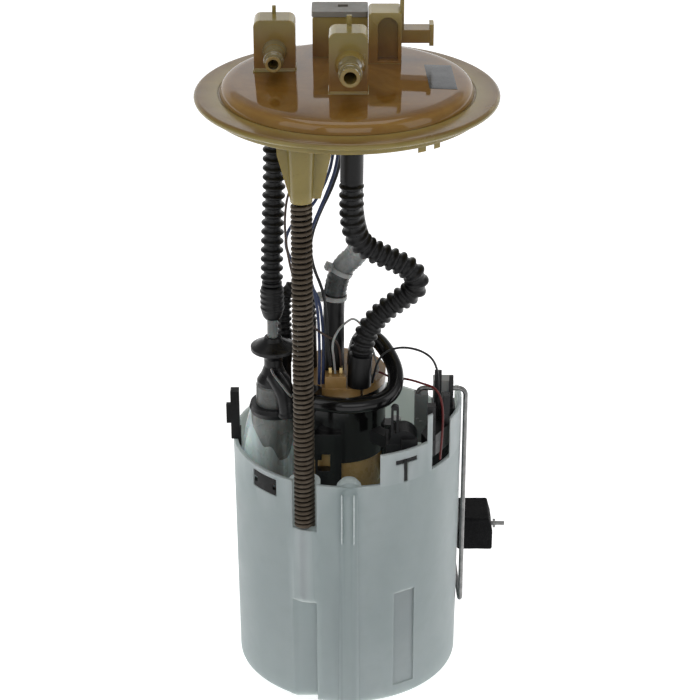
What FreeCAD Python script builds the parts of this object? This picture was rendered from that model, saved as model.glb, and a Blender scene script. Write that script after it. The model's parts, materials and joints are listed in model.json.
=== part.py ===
import FreeCAD, Part
import math
import os

# In-tank fuel pump module, millimetres, +Z up, origin at the centre of the reservoir's flat underside.
V = FreeCAD.Vector
os.makedirs("parts", exist_ok=True)
doc = FreeCAD.newDocument("fuel_pump_module")

SIZES = dict(
    can_rim_radius=61.0, can_foot_radius=60.0, can_wall=2.0, can_rim_height=135.0, can_floor=2.5,
    tower_height=167.0, tower_step=152.0, tower_right=156.7,
    rod_x=-22.0, rod_y=-53.0, rod_radius=2.6, rod_bore=2.65, rod_head=3.0, rod_head_bore=3.15,
    shelf_height=107.0, guide_bottom=99.0, spring_outer=5.45, spring_wire=0.95, spring_pitch=2.77,
    spring_top=290.0, pocket_radius=6.25,
    disc_radius=76.0, disc_top=327.4, disc_thick=3.0, skirt_radius=68.5, skirt_wall=2.4, skirt_bottom=319.8,
    plateau_radius=63.0, plateau_top=333.5,
    nipple_return=3.945, nipple_supply=4.745, nipple_length=20.0,
    pump_x=-4.0, pump_y=3.0, holder_radius=24.5, holder_top=166.0, holder_bottom=127.0,
    case_radius=23.0, case_bottom=22.0, shell_radius=15.0, shell_wall=1.2, shell_bottom=30.0, shell_top=125.0,
    shaft_radius=2.0, shaft_bore=2.04, core_radius=10.6, impeller_radius=11.0,
    valve_x=-38.5, valve_y=-14.0,
    pivot_y=-8.0, pivot_z=165.0, arm_radius=1.25, arm_x=62.6, float_y=50.0, float_z=46.8,
    float_left=62.7, float_length=20.5, float_depth=25.0, float_height=20.6, float_bore=1.31,
    hose_left_radius=5.8, hose_right_radius=6.2, hose_loop_radius=4.2, hose_tied_radius=5.6, hose_third_radius=4.2,
    wire_radius=0.8, inlet_x=-30.0, inlet_y=30.0,
)


class E:
    """A number with the expression that gives it, so that a size stays bound to the sheet."""

    def __init__(self, text, value):
        self.text, self.value = text, float(value)

    @staticmethod
    def of(x):
        return x if isinstance(x, E) else E("(%r)" % float(x), x)

    def __add__(self, o):
        o = E.of(o)
        return E("(%s + %s)" % (self.text, o.text), self.value + o.value)

    def __radd__(self, o):
        return E.of(o) + self

    def __sub__(self, o):
        o = E.of(o)
        return E("(%s - %s)" % (self.text, o.text), self.value - o.value)

    def __rsub__(self, o):
        return E.of(o) - self

    def __mul__(self, o):
        o = E.of(o)
        return E("(%s * %s)" % (self.text, o.text), self.value * o.value)

    def __rmul__(self, o):
        return E.of(o) * self

    def __neg__(self):
        return E("(-1 * %s)" % self.text, -self.value)


def num(x):
    return x.value if isinstance(x, E) else float(x)


sheet = doc.addObject("Spreadsheet::Sheet", "P")
for row, (alias, value) in enumerate(SIZES.items(), 1):
    sheet.set("A%d" % row, alias)
    sheet.set("B%d" % row, repr(value))
    sheet.setAlias("B%d" % row, alias)
doc.recompute()


class Sizes:
    def __getattr__(self, name):
        return E("P." + name, SIZES[name])


S = Sizes()
NODES = []
count = [0]


def new(kind, stem):
    count[0] += 1
    return doc.addObject(kind, "%s_%03d" % (stem, count[0]))


def put(obj, prop, x):
    if prop.startswith("Placement.Base."):
        place = obj.Placement
        setattr(place.Base, prop[-1], num(x))
        obj.Placement = place
    else:
        setattr(obj, prop, num(x))
    if isinstance(x, E):
        obj.setExpression(prop, x.text)


def at(obj, x, y, z):
    for axis, value in zip("xyz", (x, y, z)):
        put(obj, "Placement.Base." + axis, value)


def box(x0, x1, y0, y1, z0, z1):
    b = new("Part::Box", "block")
    put(b, "Length", x1 - x0)
    put(b, "Width", y1 - y0)
    put(b, "Height", z1 - z0)
    at(b, x0, y0, z0)
    return b


TURN = {"z": (V(0, 0, 1), 0), "x": (V(0, 1, 0), 90), "y": (V(1, 0, 0), -90), "-y": (V(1, 0, 0), 90)}


def cyl(x, y, z, radius, length, axis="z", angle=360):
    c = new("Part::Cylinder", "round")
    c.Placement = FreeCAD.Placement(V(0, 0, 0), FreeCAD.Rotation(*TURN[axis]))
    put(c, "Radius", radius)
    put(c, "Height", length)
    c.Angle = angle
    at(c, x, y, z)
    return c


def cone(x, y, z, radius1, radius2, length, axis="z"):
    c = new("Part::Cone", "taper")
    c.Placement = FreeCAD.Placement(V(0, 0, 0), FreeCAD.Rotation(*TURN[axis]))
    put(c, "Radius1", radius1)
    put(c, "Radius2", radius2)
    put(c, "Height", length)
    at(c, x, y, z)
    return c


def fuse(*shapes):
    if len(shapes) == 1:
        return shapes[0]
    f = new("Part::MultiFuse", "joined")
    f.Shapes = list(shapes)
    return f


def cut(base, *tools):
    c = new("Part::Cut", "cut")
    c.Base, c.Tool = base, fuse(*tools)
    return c


def common(a, b):
    c = new("Part::MultiCommon", "common")
    c.Shapes = [a, b]
    return c


def node(label, obj):
    obj.Label = label
    NODES.append(obj)
    return obj


def plane(body, role):
    return [o for o in body.Origin.OriginFeatures if o.Role == role][0]


def outline(body, role, points, offset=0.0, stem="outline"):
    """A closed polygon sketch on one of the body's own planes, each corner held by two distances."""
    sk = body.newObject("Sketcher::SketchObject", "%s_%03d" % (stem, count[0]))
    sk.AttachmentSupport = [(plane(body, role), "")]
    sk.MapMode = "FlatFace"
    if isinstance(offset, E):
        sk.AttachmentOffset = FreeCAD.Placement(V(0, 0, offset.value), FreeCAD.Rotation())
        sk.setExpression("AttachmentOffset.Base.z", offset.text)
    elif offset:
        sk.AttachmentOffset = FreeCAD.Placement(V(0, 0, offset), FreeCAD.Rotation())
    n = len(points)
    flat = [(num(a), num(b)) for a, b in points]
    for i in range(n):
        p, q = flat[i], flat[(i + 1) % n]
        sk.addGeometry(Part.LineSegment(V(p[0], p[1], 0), V(q[0], q[1], 0)), False)
    for i in range(n):
        sk.addConstraint(Sketcher.Constraint("Coincident", i, 2, (i + 1) % n, 1))
    for i in range(n):
        for kind, k in (("DistanceX", 0), ("DistanceY", 1)):
            j = sk.addConstraint(Sketcher.Constraint(kind, -1, 1, i, 1, flat[i][k]))
            if isinstance(points[i][k], E):
                sk.setExpression("Constraints[%d]" % j, points[i][k].text)
    return sk


def revolved(points, x=0.0, y=0.0, z=0.0):
    """A body turned about its own Z axis from an outline of (radius, height) corners."""
    body = new("PartDesign::Body", "turned")
    sk = outline(body, "XZ_Plane", points)
    r = body.newObject("PartDesign::Revolution", "revolution_%03d" % count[0])
    r.Profile = sk
    r.ReferenceAxis = (sk, ["V_Axis"])
    r.Angle = 360
    sk.Visibility = False
    at(body, x, y, z)
    return body


def padded(points, z0, length, role="XY_Plane", x=0.0, y=0.0):
    """A body extruded from an outline on the XY plane (or another), starting at z0."""
    body = new("PartDesign::Body", "padded")
    sk = outline(body, role, points, z0)
    p = body.newObject("PartDesign::Pad", "pad_%03d" % count[0])
    p.Profile = sk
    put(p, "Length", length)
    sk.Visibility = False
    at(body, x, y, 0.0)
    return body


def upright_edges(shape, test):
    return [i for i, e in enumerate(shape.Edges, 1) if test(e)]


def soft_corners(obj, radius, direction=V(0, 0, 1)):
    """The object with its straight edges along one direction rounded."""
    doc.recompute()
    f = new("Part::Fillet", "rounded")
    f.Base = obj
    found = []
    for i, e in enumerate(obj.Shape.Edges, 1):
        if e.Curve.TypeId == "Part::GeomLine" and abs(abs(e.tangentAt(e.FirstParameter).dot(direction)) - 1) < 1e-6:
            found.append((i, radius, radius))
    f.Edges = found
    return f


def route(points):
    """Straight runs joined by tangent arcs, and the arcs' radii. Each arc's radius is 0.45 of the shorter run over the tangent of half the turn."""
    pts = [V(*p) for p in points]
    edges, radii, here = [], [], pts[0]
    for a, b, c in zip(pts, pts[1:], pts[2:]):
        u, w = (b - a), (c - b)
        short = min(u.Length, w.Length)
        u.normalize()
        w.normalize()
        half = math.acos(max(-1.0, min(1.0, u.dot(w)))) / 2
        back = 0.45 * short
        radii.append(back / math.tan(half))
        p, q = b - u * back, b + w * back
        middle = (w - u)
        middle.normalize()
        centre = b + middle * (radii[-1] / math.cos(half))
        m = centre - middle * radii[-1]
        edges.append(Part.LineSegment(here, p).toShape())
        edges.append(Part.Arc(p, m, q).toShape())
        here = q
    edges.append(Part.LineSegment(here, pts[-1]).toShape())
    return Part.Wire(edges), radii


def swept(wire, first, second, radius):
    ring = Part.Wire([Part.makeCircle(radius, first, second - first)])
    return wire.makePipeShell([ring], True, False)


def tube(label, points, radius, bore=0.0):
    """A hose or wire along its route; the sweep's volume is checked against its section times its length."""
    wire, radii = route(points)
    a, b = V(*points[0]), V(*points[1])
    solid = swept(wire, a, b, num(radius))
    if not isinstance(solid, Part.Solid):
        solid = solid.Solids[0] if solid.Solids else Part.Solid(solid)
    want = math.pi * num(radius) ** 2 * wire.Length
    if abs(solid.Volume / want - 1) > 0.02:
        raise RuntimeError("%s: swept volume %.1f, section times length %.1f" % (label, solid.Volume, want))
    if bore:
        inner = swept(wire, a, b, bore)
        solid = solid.cut(inner)
    f = new("Part::Feature", "cord")
    f.Shape = solid
    f.Placement = FreeCAD.Placement(V(0, 0, 0), FreeCAD.Rotation())
    print("%s: length %.0f mm, radii %s" % (label, wire.Length, " ".join("%.1f" % r for r in radii)))
    return node(label, f)


import Sketcher  # noqa: E402  the sketches' constraints

# ---------------------------------------------------------------- reservoir can
cup = revolved(
    [
        (0.0, 0.0), (S.can_foot_radius - 1.2, 0.0), (S.can_foot_radius, 1.2), (S.can_rim_radius, S.can_rim_height),
        (S.can_rim_radius - S.can_wall, S.can_rim_height), (S.can_foot_radius - S.can_wall, S.can_floor), (0.0, S.can_floor),
    ]
)
collar = cut(
    cyl(0, 0, S.can_rim_height - 1.0, S.can_rim_radius, S.tower_height - S.can_rim_height + 1.0),
    cyl(0, 0, S.can_rim_height - 2.0, S.can_rim_radius - S.can_wall, 40.0),
)
towers = common(
    collar,
    fuse(
        box(17.0, 42.0, -62.0, -36.0, 132.0, S.tower_step),
        box(41.4, 44.1, -62.0, -36.0, 132.0, S.tower_height),
        box(53.6, 62.0, -31.0, 12.0, 132.0, S.tower_right),
    ),
)
boss = common(cyl(S.rod_x, S.rod_y, 46.0, 8.25, S.can_rim_height - 46.0), cyl(0, 0, 0, 60.3, 140.0))
band = common(box(-29.5, -11.0, -63.0, -49.0, 63.0, S.shelf_height), cyl(-17.25, -41.6, 60.0, 16.4, 50.0))
backing = common(box(-30.5, -13.9, -60.0, -50.9, 0.0, 66.0), cyl(0, 0, 0, 59.3, 140.0))
column = revolved([(0, 0), (7, 0), (7, 130.3), (6.2, 133.8), (4.0, 136.4), (0, 137.3)], 1.0, -55.5)
can = cut(
    fuse(cup, towers, boss, band, backing, column, box(-3.2, -2.3, -62.1, -58.0, 102.0, 131.0), box(3.1, 4.0, -62.7, -58.0, 102.0, 131.0)),
    cyl(S.rod_x, S.rod_y, S.shelf_height, S.pocket_radius, 40.0),
    box(S.rod_x - S.pocket_radius, S.rod_x + S.pocket_radius, -70.0, S.rod_y, S.shelf_height, 140.0),
    cyl(S.rod_x, S.rod_y, S.guide_bottom, S.rod_bore, 10.0),
    cyl(S.rod_x, S.rod_y, 64.6, S.rod_head_bore, S.guide_bottom - 64.6),
    box(-28.7, -15.9, -70.0, -52.9, -1.0, 63.0),
    cyl(1.0, -55.5, S.can_floor, 5.0, 126.0),
    common(cut(cyl(0, 0, 8.0, 66.0, 59.0), cyl(0, 0, 7.0, 59.4, 61.0)), box(24.7, 35.5, -66.0, -40.0, 5.0, 70.0)),
    box(25.0, 36.0, -62.0, -40.0, 144.8, 147.6),
    box(29.2, 31.2, -62.0, -40.0, 134.0, 145.5),
    box(-48.9, -36.7, -62.0, -30.0, 122.5, 132.5),
    cyl(S.inlet_x, S.inlet_y, -1.0, 6.0, 5.0),
    cyl(S.inlet_x, S.inlet_y, -1.0, 9.0, 2.6),
)
node("reservoir_can", can)

# strainer disc in the floor port, and the inlet valve over it
node("inlet_strainer", cut(cyl(S.inlet_x, S.inlet_y, 0.9, 8.9, 0.6), *[cyl(S.inlet_x + 4 * math.cos(k), S.inlet_y + 4 * math.sin(k), 0.5, 1.0, 2.0) for k in (0.0, 1.05, 2.09, 3.14, 4.19, 5.24)]))
node(
    "inlet_valve_cage",
    fuse(
        cut(cyl(S.inlet_x, S.inlet_y, S.can_floor, 11.0, 6.0), cyl(S.inlet_x, S.inlet_y, 2.0, 9.0, 8.0)),
        cut(box(S.inlet_x - 10.0, S.inlet_x + 10.0, S.inlet_y - 2.5, S.inlet_y + 2.5, 8.0, 10.0), cyl(S.inlet_x, S.inlet_y, 7.0, 1.35, 5.0)),
    ),
)
node("inlet_valve", revolved([(0, 2.55), (8.2, 2.55), (8.2, 3.4), (1.3, 4.4), (1.3, 12.0), (0, 12.0)], S.inlet_x, S.inlet_y))

# ---------------------------------------------------------------- pump holder, filter case, lid
px, py = S.pump_x, S.pump_y
holder = cut(
    fuse(
        cyl(px, py, S.holder_bottom, S.holder_radius, S.holder_top - S.holder_bottom),
        box(-17.0, -3.0, -24.6, -19.0, 112.0, 146.0),
        box(-29.6, -24.0, -4.0, 4.0, 112.0, 140.0),
        box(18.5, 24.0, -3.0, 5.0, 112.0, 140.0),
    ),
    cyl(px, py, 100.0, S.case_radius + 0.05, 80.0),
    box(-15.5, -9.0, -30.0, -18.0, 124.0, 134.0),
)
# the holder's arm round the pressure regulator, and its port for the loop hose
bracket = cut(
    fuse(box(14.5, 36.8, 9.8, 30.5, 115.0, 118.0), box(17.5, 22.0, 9.8, 16.0, 115.0, 131.0)), cyl(26.5, 20.0, 110.0, 8.25, 30.0), cyl(26.5, 20.0, 118.0, 9.5, 14.0), cyl(px, py, 105.0, S.holder_radius - 0.4, 30.0),
)
port = common(padded([(-18.2, -31.95), (-15.1, -23.25), (-13.0, -19.5), (-20.5, -15.0), (-26.5, -22.0), (-22.5, -29.5)], 161.0, 11.0), cut(cyl(0, 0, 150.0, 40.0, 25.0), cyl(px, py, 149.0, S.holder_radius - 0.4, 17.0), cyl(px, py, 165.9, S.holder_radius + 0.1, 20.0)))
node("pump_holder", fuse(holder, bracket, port))
case = cut(
    fuse(cyl(px, py, S.case_bottom, S.case_radius, 166.0 - S.case_bottom), cyl(px, py, 2.6, 12.0, S.case_bottom - 2.6 + 0.5)),
    cyl(px, py, S.case_bottom + 2.0, S.case_radius - 1.5, 160.0),
    cyl(px, py, 0.0, 10.0, S.case_bottom + 0.0),
    cyl(px, py, 10.0, 4.0, 20.0),
    box(-24.0, 16.0, -2.0, 8.0, 2.0, 9.0),
)
node("filter_case", case)
stubs = []
for sx, sy, sr, sh in ((6.3, -16.0, 3.7, 10.0), (-7.0, -6.0, 3.4, 9.0), (7.5, 20.0, 3.2, 9.0), (4.0, 9.0, 2.3, 8.0), (-20.0, 6.0, 2.4, 9.0)):
    stubs.append(cyl(sx, sy, 170.0, sr, sh))
lid = cut(
    fuse(
        cyl(px, py, 166.0, S.holder_radius, 5.0),
        cyl(px, py, 162.0, S.case_radius - 1.6, 5.0),
        box(-11.5, -0.5, -20.5, -13.0, 170.0, 178.0),
        cut(cyl(px, py, 158.0, 6.4, 5.0), cyl(px, py, 157.0, 5.3, 5.5)),
        *stubs,
    ),
    cyl(6.3, -16.0, 160.0, 2.9, 30.0), cyl(-7.0, -6.0, 160.0, 2.5, 30.0), cyl(7.5, 20.0, 160.0, 2.5, 30.0),
    cyl(4.0, 9.0, 165.0, 1.6, 30.0), cyl(-20.0, 6.0, 165.0, 1.6, 30.0),
    cyl(px, py, 157.0, 3.0, 8.0), box(-9.6, -8.0, -18.0, -15.6, 173.0, 182.0), box(-4.0, -2.4, -18.0, -15.6, 173.0, 182.0),
)
node("filter_lid", lid)
node("pump_terminals", fuse(box(-9.6, -8.0, -18.0, -15.6, 173.0, 182.0), box(-4.0, -2.4, -18.0, -15.6, 173.0, 182.0)))
node("filter_element", cut(cyl(px, py, 42.0, 21.0, 78.0), cyl(px, py, 41.0, 16.4, 80.0)))
node("pump_isolator", cut(cyl(px, py, 24.0, 17.4, 11.0), cyl(px, py, 29.95, S.shell_radius, 10.0), cyl(px, py, 20.0, 7.0, 15.0)))

# ---------------------------------------------------------------- pump
rin = S.shell_radius - S.shell_wall
node("pump_shell", cut(cyl(px, py, S.shell_bottom, S.shell_radius, S.shell_top - S.shell_bottom), cyl(px, py, 20.0, rin, 120.0)))
node(
    "pump_inlet_cover",
    cut(cyl(px, py, 30.0, rin, 8.0), cyl(px + 8.0, py, 25.0, 2.2, 20.0), cyl(px, py, 34.0, S.shaft_bore, 10.0), cut(cyl(px, py, 37.2, 10.4, 2.0), cyl(px, py, 36.0, 7.6, 4.0))),
)
wheel = new("PartDesign::Body", "impeller_body")
wsk = outline(wheel, "XY_Plane", [(11.0 * math.cos(2 * math.pi * k / 36), 11.0 * math.sin(2 * math.pi * k / 36)) for k in range(36)])
wpad = wheel.newObject("PartDesign::Pad", "impeller_pad")
wpad.Profile = wsk
wpad.Length = 2.8
nsk = outline(wheel, "XY_Plane", [(8.6, -0.45), (11.6, -0.45), (11.6, 0.45), (8.6, 0.45)], 0.0, "vane_gap")
npk = wheel.newObject("PartDesign::Pocket", "vane_gap_pocket")
npk.Profile = nsk
npk.Type = 1
npk.Midplane = True
doc.recompute()
vanes = wheel.newObject("PartDesign::PolarPattern", "vane_gaps")
vanes.Originals = [npk]
vanes.Axis = (wsk, ["N_Axis"])
vanes.Angle = 360
vanes.Occurrences = 24
wheel.Tip = vanes
at(wheel, px, py, 38.3)
node("impeller", cut(wheel, cyl(px, py, 30.0, S.shaft_radius, 20.0)))
node("pump_plate", cut(cyl(px, py, 38.0, rin, 8.0), cyl(px, py, 37.0, 11.25, 4.5), cyl(px, py, 40.0, S.shaft_bore, 10.0), cyl(px - 8.0, py, 40.0, 2.2, 10.0)))
node("armature_shaft", cyl(px, py, 34.6, S.shaft_radius, 84.0))
core = cut(cyl(px, py, 56.0, S.core_radius, 40.0), cyl(px, py, 50.0, S.shaft_radius, 60.0), *[box(px + 7.0 * math.cos(a) - 0.6, px + 7.0 * math.cos(a) + 0.6, py + 7.0 * math.sin(a) - 0.6, py + 7.0 * math.sin(a) + 0.6, 50.0, 100.0) for a in [2 * math.pi * k / 8 for k in range(8)]])
node("armature_core", core)
node("commutator", cut(cyl(px, py, 100.0, 5.5, 7.5), cyl(px, py, 95.0, S.shaft_radius, 20.0), *[box(px + 5.2 * math.cos(a) - 0.3, px + 5.2 * math.cos(a) + 0.3, py + 5.2 * math.sin(a) - 0.3, py + 5.2 * math.sin(a) + 0.3, 98.0, 110.0) for a in [2 * math.pi * k / 8 for k in range(8)]]))
node("pump_magnets", cut(cyl(px, py, 54.0, rin, 46.0), cyl(px, py, 50.0, 11.1, 60.0), box(px - 20.0, px + 20.0, py - 2.5, py + 2.5, 50.0, 110.0)))
# brushes press on the commutator from both sides, each pushed by a coil spring in the cap
node("brushes", fuse(box(px + 5.55, px + 8.4, py - 1.5, py + 1.5, 101.5, 105.5), box(px - 8.4, px - 5.55, py - 1.5, py + 1.5, 101.5, 105.5)))


def rings(radius, wire_r, pitch, number):
    """A coil spring as a stack of closed rings, one for each turn."""
    return Part.makeCompound([Part.makeTorus(radius, wire_r, V(0, 0, k * pitch)) for k in range(number)])


springs = []
for side in (1, -1):
    s = rings(1.1, 0.2, 0.8, 5)
    s.Placement = FreeCAD.Placement(V(num(px) + side * 8.65, num(py), 103.5), FreeCAD.Rotation(V(0, 1, 0), 90 * side))
    springs.append(s)
bs = new("Part::Feature", "brush_spring_pair")
bs.Shape = Part.makeCompound(springs)
bs.Placement = FreeCAD.Placement()
node("brush_springs", bs)
node(
    "pump_outlet_cap",
    cut(
        fuse(
            cut(cyl(px, py, 106.5, rin, 18.5), cyl(px, py, 100.0, S.shaft_radius + 4.0, 10.5)),
            cyl(px, py, 110.5, 9.0, 14.5),
            cyl(px, py, 124.0, 5.2, 37.9),
        ),
        cyl(px, py, 105.0, S.shaft_bore, 14.4),
        cyl(px, py, 128.0, 3.4, 15.0), cyl(px, py, 140.0, 1.6, 30.0),
        cyl(px + 5.0, py + 5.0, 100.0, 1.2, 24.0),
        cyl(px, py, 120.5, 2.2, 10.0),
    ),
)
# outlet valve: a poppet on the seat at z=128, held down by a coil spring
node("outlet_valve", revolved([(0, 128.05), (3.0, 128.05), (3.0, 130.0), (1.2, 131.0), (1.2, 136.0), (0, 136.0)], px, py))
vs = new("Part::Feature", "outlet_spring")
vshape = rings(2.3, 0.25, 1.6, 7)
vshape.Placement = FreeCAD.Placement(V(num(px), num(py), 131.4), FreeCAD.Rotation())
vs.Shape = vshape
node("outlet_valve_spring", vs)

# jet pump on the floor and the pressure regulator at the back of the holder
node("jet_pump", cut(fuse(box(24.0, 34.0, 8.0, 34.0, 2.5, 12.0), cyl(29.0, 34.0, 8.0, 3.0, 8.0, "y"), cyl(29.0, 14.0, 10.0, 2.6, 14.0)), cyl(29.0, 6.0, 8.0, 1.6, 40.0, "y"), cyl(29.0, 14.0, 9.0, 1.4, 20.0)))
node("pressure_regulator", revolved([(0, 99), (5, 99), (5, 105), (8.2, 107), (8.2, 119), (9.4, 119), (9.4, 121.5), (8.2, 121.5), (8.2, 126), (3, 128), (3, 132), (0, 132)], 26.5, 20.0))

# ---------------------------------------------------------------- left filler valve
vx, vy = S.valve_x, S.valve_y
node("valve_disc", revolved([(0, 181.5), (4.8, 181.5), (4.8, 186.0), (7.2, 189.6), (11.6, 191.2), (11.6, 193.0), (9.4, 194.0), (5.4, 196.6), (4.2, 198.4), (0, 198.4)], vx, vy))
node("valve_tube", cut(cyl(vx, vy, 198.4, 2.85, 10.4), cyl(vx, vy, 198.0, 1.6, 12.0)))
bend = [(-37.2, -15.4, 176.6), (-33.8, -17.2, 175.4), (-31.3, -18.9, 170.0), (-30.8, -18.6, 161.8)]


def side_tube(radius):
    wire, _ = route(bend)
    f = new("Part::Feature", "side_tube")
    f.Shape = swept(wire, V(*bend[0]), V(*bend[1]), radius)
    if not f.Shape.Solids:
        f.Shape = Part.Solid(f.Shape)
    return f


node("valve_collar", fuse(revolved([(0, 171.8), (8.7, 171.8), (8.7, 173.6), (6.4, 177.5), (4.9, 181.5), (0, 181.5)], vx, vy), side_tube(3.6)))
node("valve_body", cut(revolved([(0, 155.4), (10.6, 155.4), (9.4, 160.4), (9.2, 170.9), (8.4, 171.8), (0, 171.8)], vx, vy), side_tube(3.7)))
elbow = cut(fuse(cyl(-33.3, 3.2, 155.6, 3.7, 19.6), cyl(-33.3, 3.2, 175.0, 2.4, 8.0), box(-37.0, -32.0, -2.8, 3.2, 155.6, 160.0)), cyl(-33.3, 3.2, 158.0, 1.4, 30.0))
node("valve_ring", fuse(elbow, cut(revolved([(0, 155.4), (12.3, 155.4), (13.0, 158.0), (12.3, 160.4), (0, 160.4)], vx, vy), revolved([(0, 150.0), (10.75, 150.0), (10.75, 155.4), (9.55, 160.4), (9.5, 165.0), (0, 165.0)], vx, vy))))
funnel = cut(
    fuse(
        revolved([(0, 2.6), (8.5, 2.6), (9.0, 118.0), (12.2, 150.0), (12.2, 155.3), (0, 155.3)], vx, vy),
    ),
    revolved([(0, 1.0), (7.0, 1.0), (7.5, 118.0), (10.4, 150.0), (10.4, 156.0), (0, 156.0)], vx, vy),
    box(-48.0, -28.0, -18.0, -10.0, 2.0, 10.0),
)
node("valve_funnel", funnel)
latch = fuse(box(-61.8, -57.3, -9.0, -3.0, 135.0, 163.0), box(-58.2, -56.7, -9.0, -3.0, 118.0, 140.0), box(-64.2, -61.5, -8.0, -5.0, 144.0, 155.0))
# the window pad and the rim latch are two pieces of one kind, in one node
node(
    "can_latches",
    fuse(latch, cut(common(cut(cyl(0, 0, 122.9, 60.9, 9.2), cyl(0, 0, 120.0, 58.6, 16.0)), box(-48.5, -37.1, -62.0, -30.0, 120.0, 135.0)), box(-49.0, -46.8, -62.0, -30.0, 126.0, 129.0), box(-38.6, -36.0, -62.0, -30.0, 126.0, 129.0))),
)

# ---------------------------------------------------------------- side bracket between the holder and the can
node(
    "side_bracket",
    fuse(
        box(20.0, 36.0, -44.0, -28.0, 141.0, 151.0),
        cut(fuse(box(22.6, 26.6, -43.5, -40.5, 150.0, 170.9), cyl(24.6, -43.5, 170.9, 2.0, 3.0, "y")), box(23.9, 25.3, -45.0, -39.0, 157.0, 170.4)),
        cut(cyl(29.0, -43.8, 151.0, 7.4, 12.0, "y"), box(10.0, 50.0, -60.0, -20.0, 130.0, 150.5)),
        box(28.0, 36.0, -46.2, -43.5, 148.0, 154.8),
        box(29.3, 30.9, -53.5, -43.8, 141.4, 147.0),
        common(cut(cyl(0, 0, 130.0, 60.5, 25.0), cyl(0, 0, 129.0, 58.7, 30.0)), fuse(box(25.2, 35.8, -62.0, -40.0, 145.0, 147.4), box(29.4, 31.0, -62.0, -40.0, 134.2, 145.2))),
        padded([(12.0, -23.2), (20.5, -31.0), (24.5, -28.5), (17.2, -18.2)], 141.0, 7.0),
    ),
)

# ---------------------------------------------------------------- level sender
clip = fuse(
    padded([(41.0, -40.5), (46.0, -36.0), (53.0, -24.5), (55.6, -17.5), (54.0, -13.4), (45.6, -13.4), (38.6, -33.5)], 140.0, 12.0),
    box(41.4, 45.6, -38.8, -34.0, 150.0, 170.0),
    box(50.0, 53.6, -23.5, -18.0, 150.0, 168.0),
)
node("sender_housing", fuse(clip, box(44.8, 57.0, -14.0, -2.0, 118.0, 156.0), box(45.9, 49.6, -12.0, -10.2, 155.0, 177.0), box(53.6, 55.8, -12.0, -10.2, 155.0, 174.0)))
node("sender_bearing", cut(box(45.4, 56.0, -10.1, -3.0, 156.1, 170.3), cyl(40.0, S.pivot_y, S.pivot_z, S.arm_radius + 0.05, 30.0, "x")))
node("resistor_card", box(45.8, 56.0, -1.9, -1.1, 122.0, 152.0))

# float arm: one bent wire, pivoting in the bearing along X
ARM = [
    (37.4, -8.0, 148.0), (37.4, -8.0, 165.0), (62.6, -8.0, 165.0), (62.6, -8.0, 31.0), (58.2, 50.0, 46.8), (90.5, 50.0, 46.8),
]


def bent_wire(points, radius, bends):
    pts = [V(*p) for p in points]
    edges, here = [], pts[0]
    for (a, b, c), r in zip(zip(pts, pts[1:], pts[2:]), bends):
        u, w = (b - a), (c - b)
        u.normalize()
        w.normalize()
        half = math.acos(max(-1.0, min(1.0, u.dot(w)))) / 2
        back = r * math.tan(half)
        middle = (w - u)
        middle.normalize()
        centre = b + middle * (r / math.cos(half))
        edges.append(Part.LineSegment(here, b - u * back).toShape())
        edges.append(Part.Arc(b - u * back, centre - middle * r, b + w * back).toShape())
        here = b + w * back
    edges.append(Part.LineSegment(here, pts[-1]).toShape())
    wire = Part.Wire(edges)
    return swept(wire, pts[0], pts[1], radius), wire.Length


arm_shape, arm_length = bent_wire(ARM, SIZES["arm_radius"], (3.0, 4.0, 3.5, 3.5))
arm = new("Part::Feature", "float_arm_wire")
arm.Shape = arm_shape if isinstance(arm_shape, Part.Solid) else arm_shape.Solids[0]
print("float arm wire %.0f mm, volume ratio %.4f" % (arm_length, arm.Shape.Volume / (math.pi * SIZES["arm_radius"] ** 2 * arm_length)))
node("float_arm", arm)
node("wiper_carrier", cut(fuse(box(35.6, 42.8, -11.0, -5.0, 134.0, 162.4), box(42.7, 44.4, -9.0, -7.0, 136.0, 138.0)), cyl(37.4, -8.0, 147.9, S.arm_radius, 20.0)))

fx, fz = S.float_left, S.float_z
fl = padded(
    [
        (S.float_left + 1.0, 10.3), (S.float_left + 18.2, 10.3), (S.float_left + S.float_length, 2.2), (S.float_left + S.float_length, -10.3),
        (S.float_left, -10.3), (S.float_left, 0.8), (S.float_left + 1.0, 0.8),
    ],
    -1.0 * S.float_depth * 0.5, S.float_depth, "XZ_Plane",
)
fl.Placement = FreeCAD.Placement(V(0, SIZES["float_y"], SIZES["float_z"]), FreeCAD.Rotation())
node("float", cut(fl, cyl(50.0, S.float_y, S.float_z, S.float_bore, 50.0, "x")))
node("float_stop", cut(cyl(84.0, S.float_y, S.float_z, 2.6, 1.2, "x"), cyl(80.0, S.float_y, S.float_z, S.arm_radius, 10.0, "x")))

# ---------------------------------------------------------------- flange
t = S.disc_top
plate = revolved(
    [
        (0, t - S.disc_thick), (S.skirt_radius - S.skirt_wall, t - S.disc_thick), (S.skirt_radius - S.skirt_wall - 0.6, S.skirt_bottom),
        (S.skirt_radius - 0.8, S.skirt_bottom), (S.skirt_radius, S.skirt_bottom + 1.0), (S.skirt_radius + 0.6, t - S.disc_thick),
        (S.disc_radius - 1.0, t - S.disc_thick), (S.disc_radius, t - S.disc_thick + 1.0), (S.disc_radius, t - 0.9), (S.disc_radius - 0.9, t),
        (S.plateau_radius, t), (S.plateau_radius - 1.0, t + 3.5), (S.plateau_radius - 6.0, S.plateau_top), (0, S.plateau_top),
    ]
)
hollow = revolved([(0, t - 4.0), (58.0, t - 4.0), (58.0, t + 1.4), (55.0, S.plateau_top - 2.4), (0, S.plateau_top - 2.4)])
pillar1 = soft_corners(box(-46.4, -25.6, 9.0, 23.0, 330.0, 360.6), 3.5, V(0, 1, 0))
pillar2 = soft_corners(box(-8.7, 10.2, -25.5, -11.5, 330.0, 365.3), 3.5, V(0, 1, 0))
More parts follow.
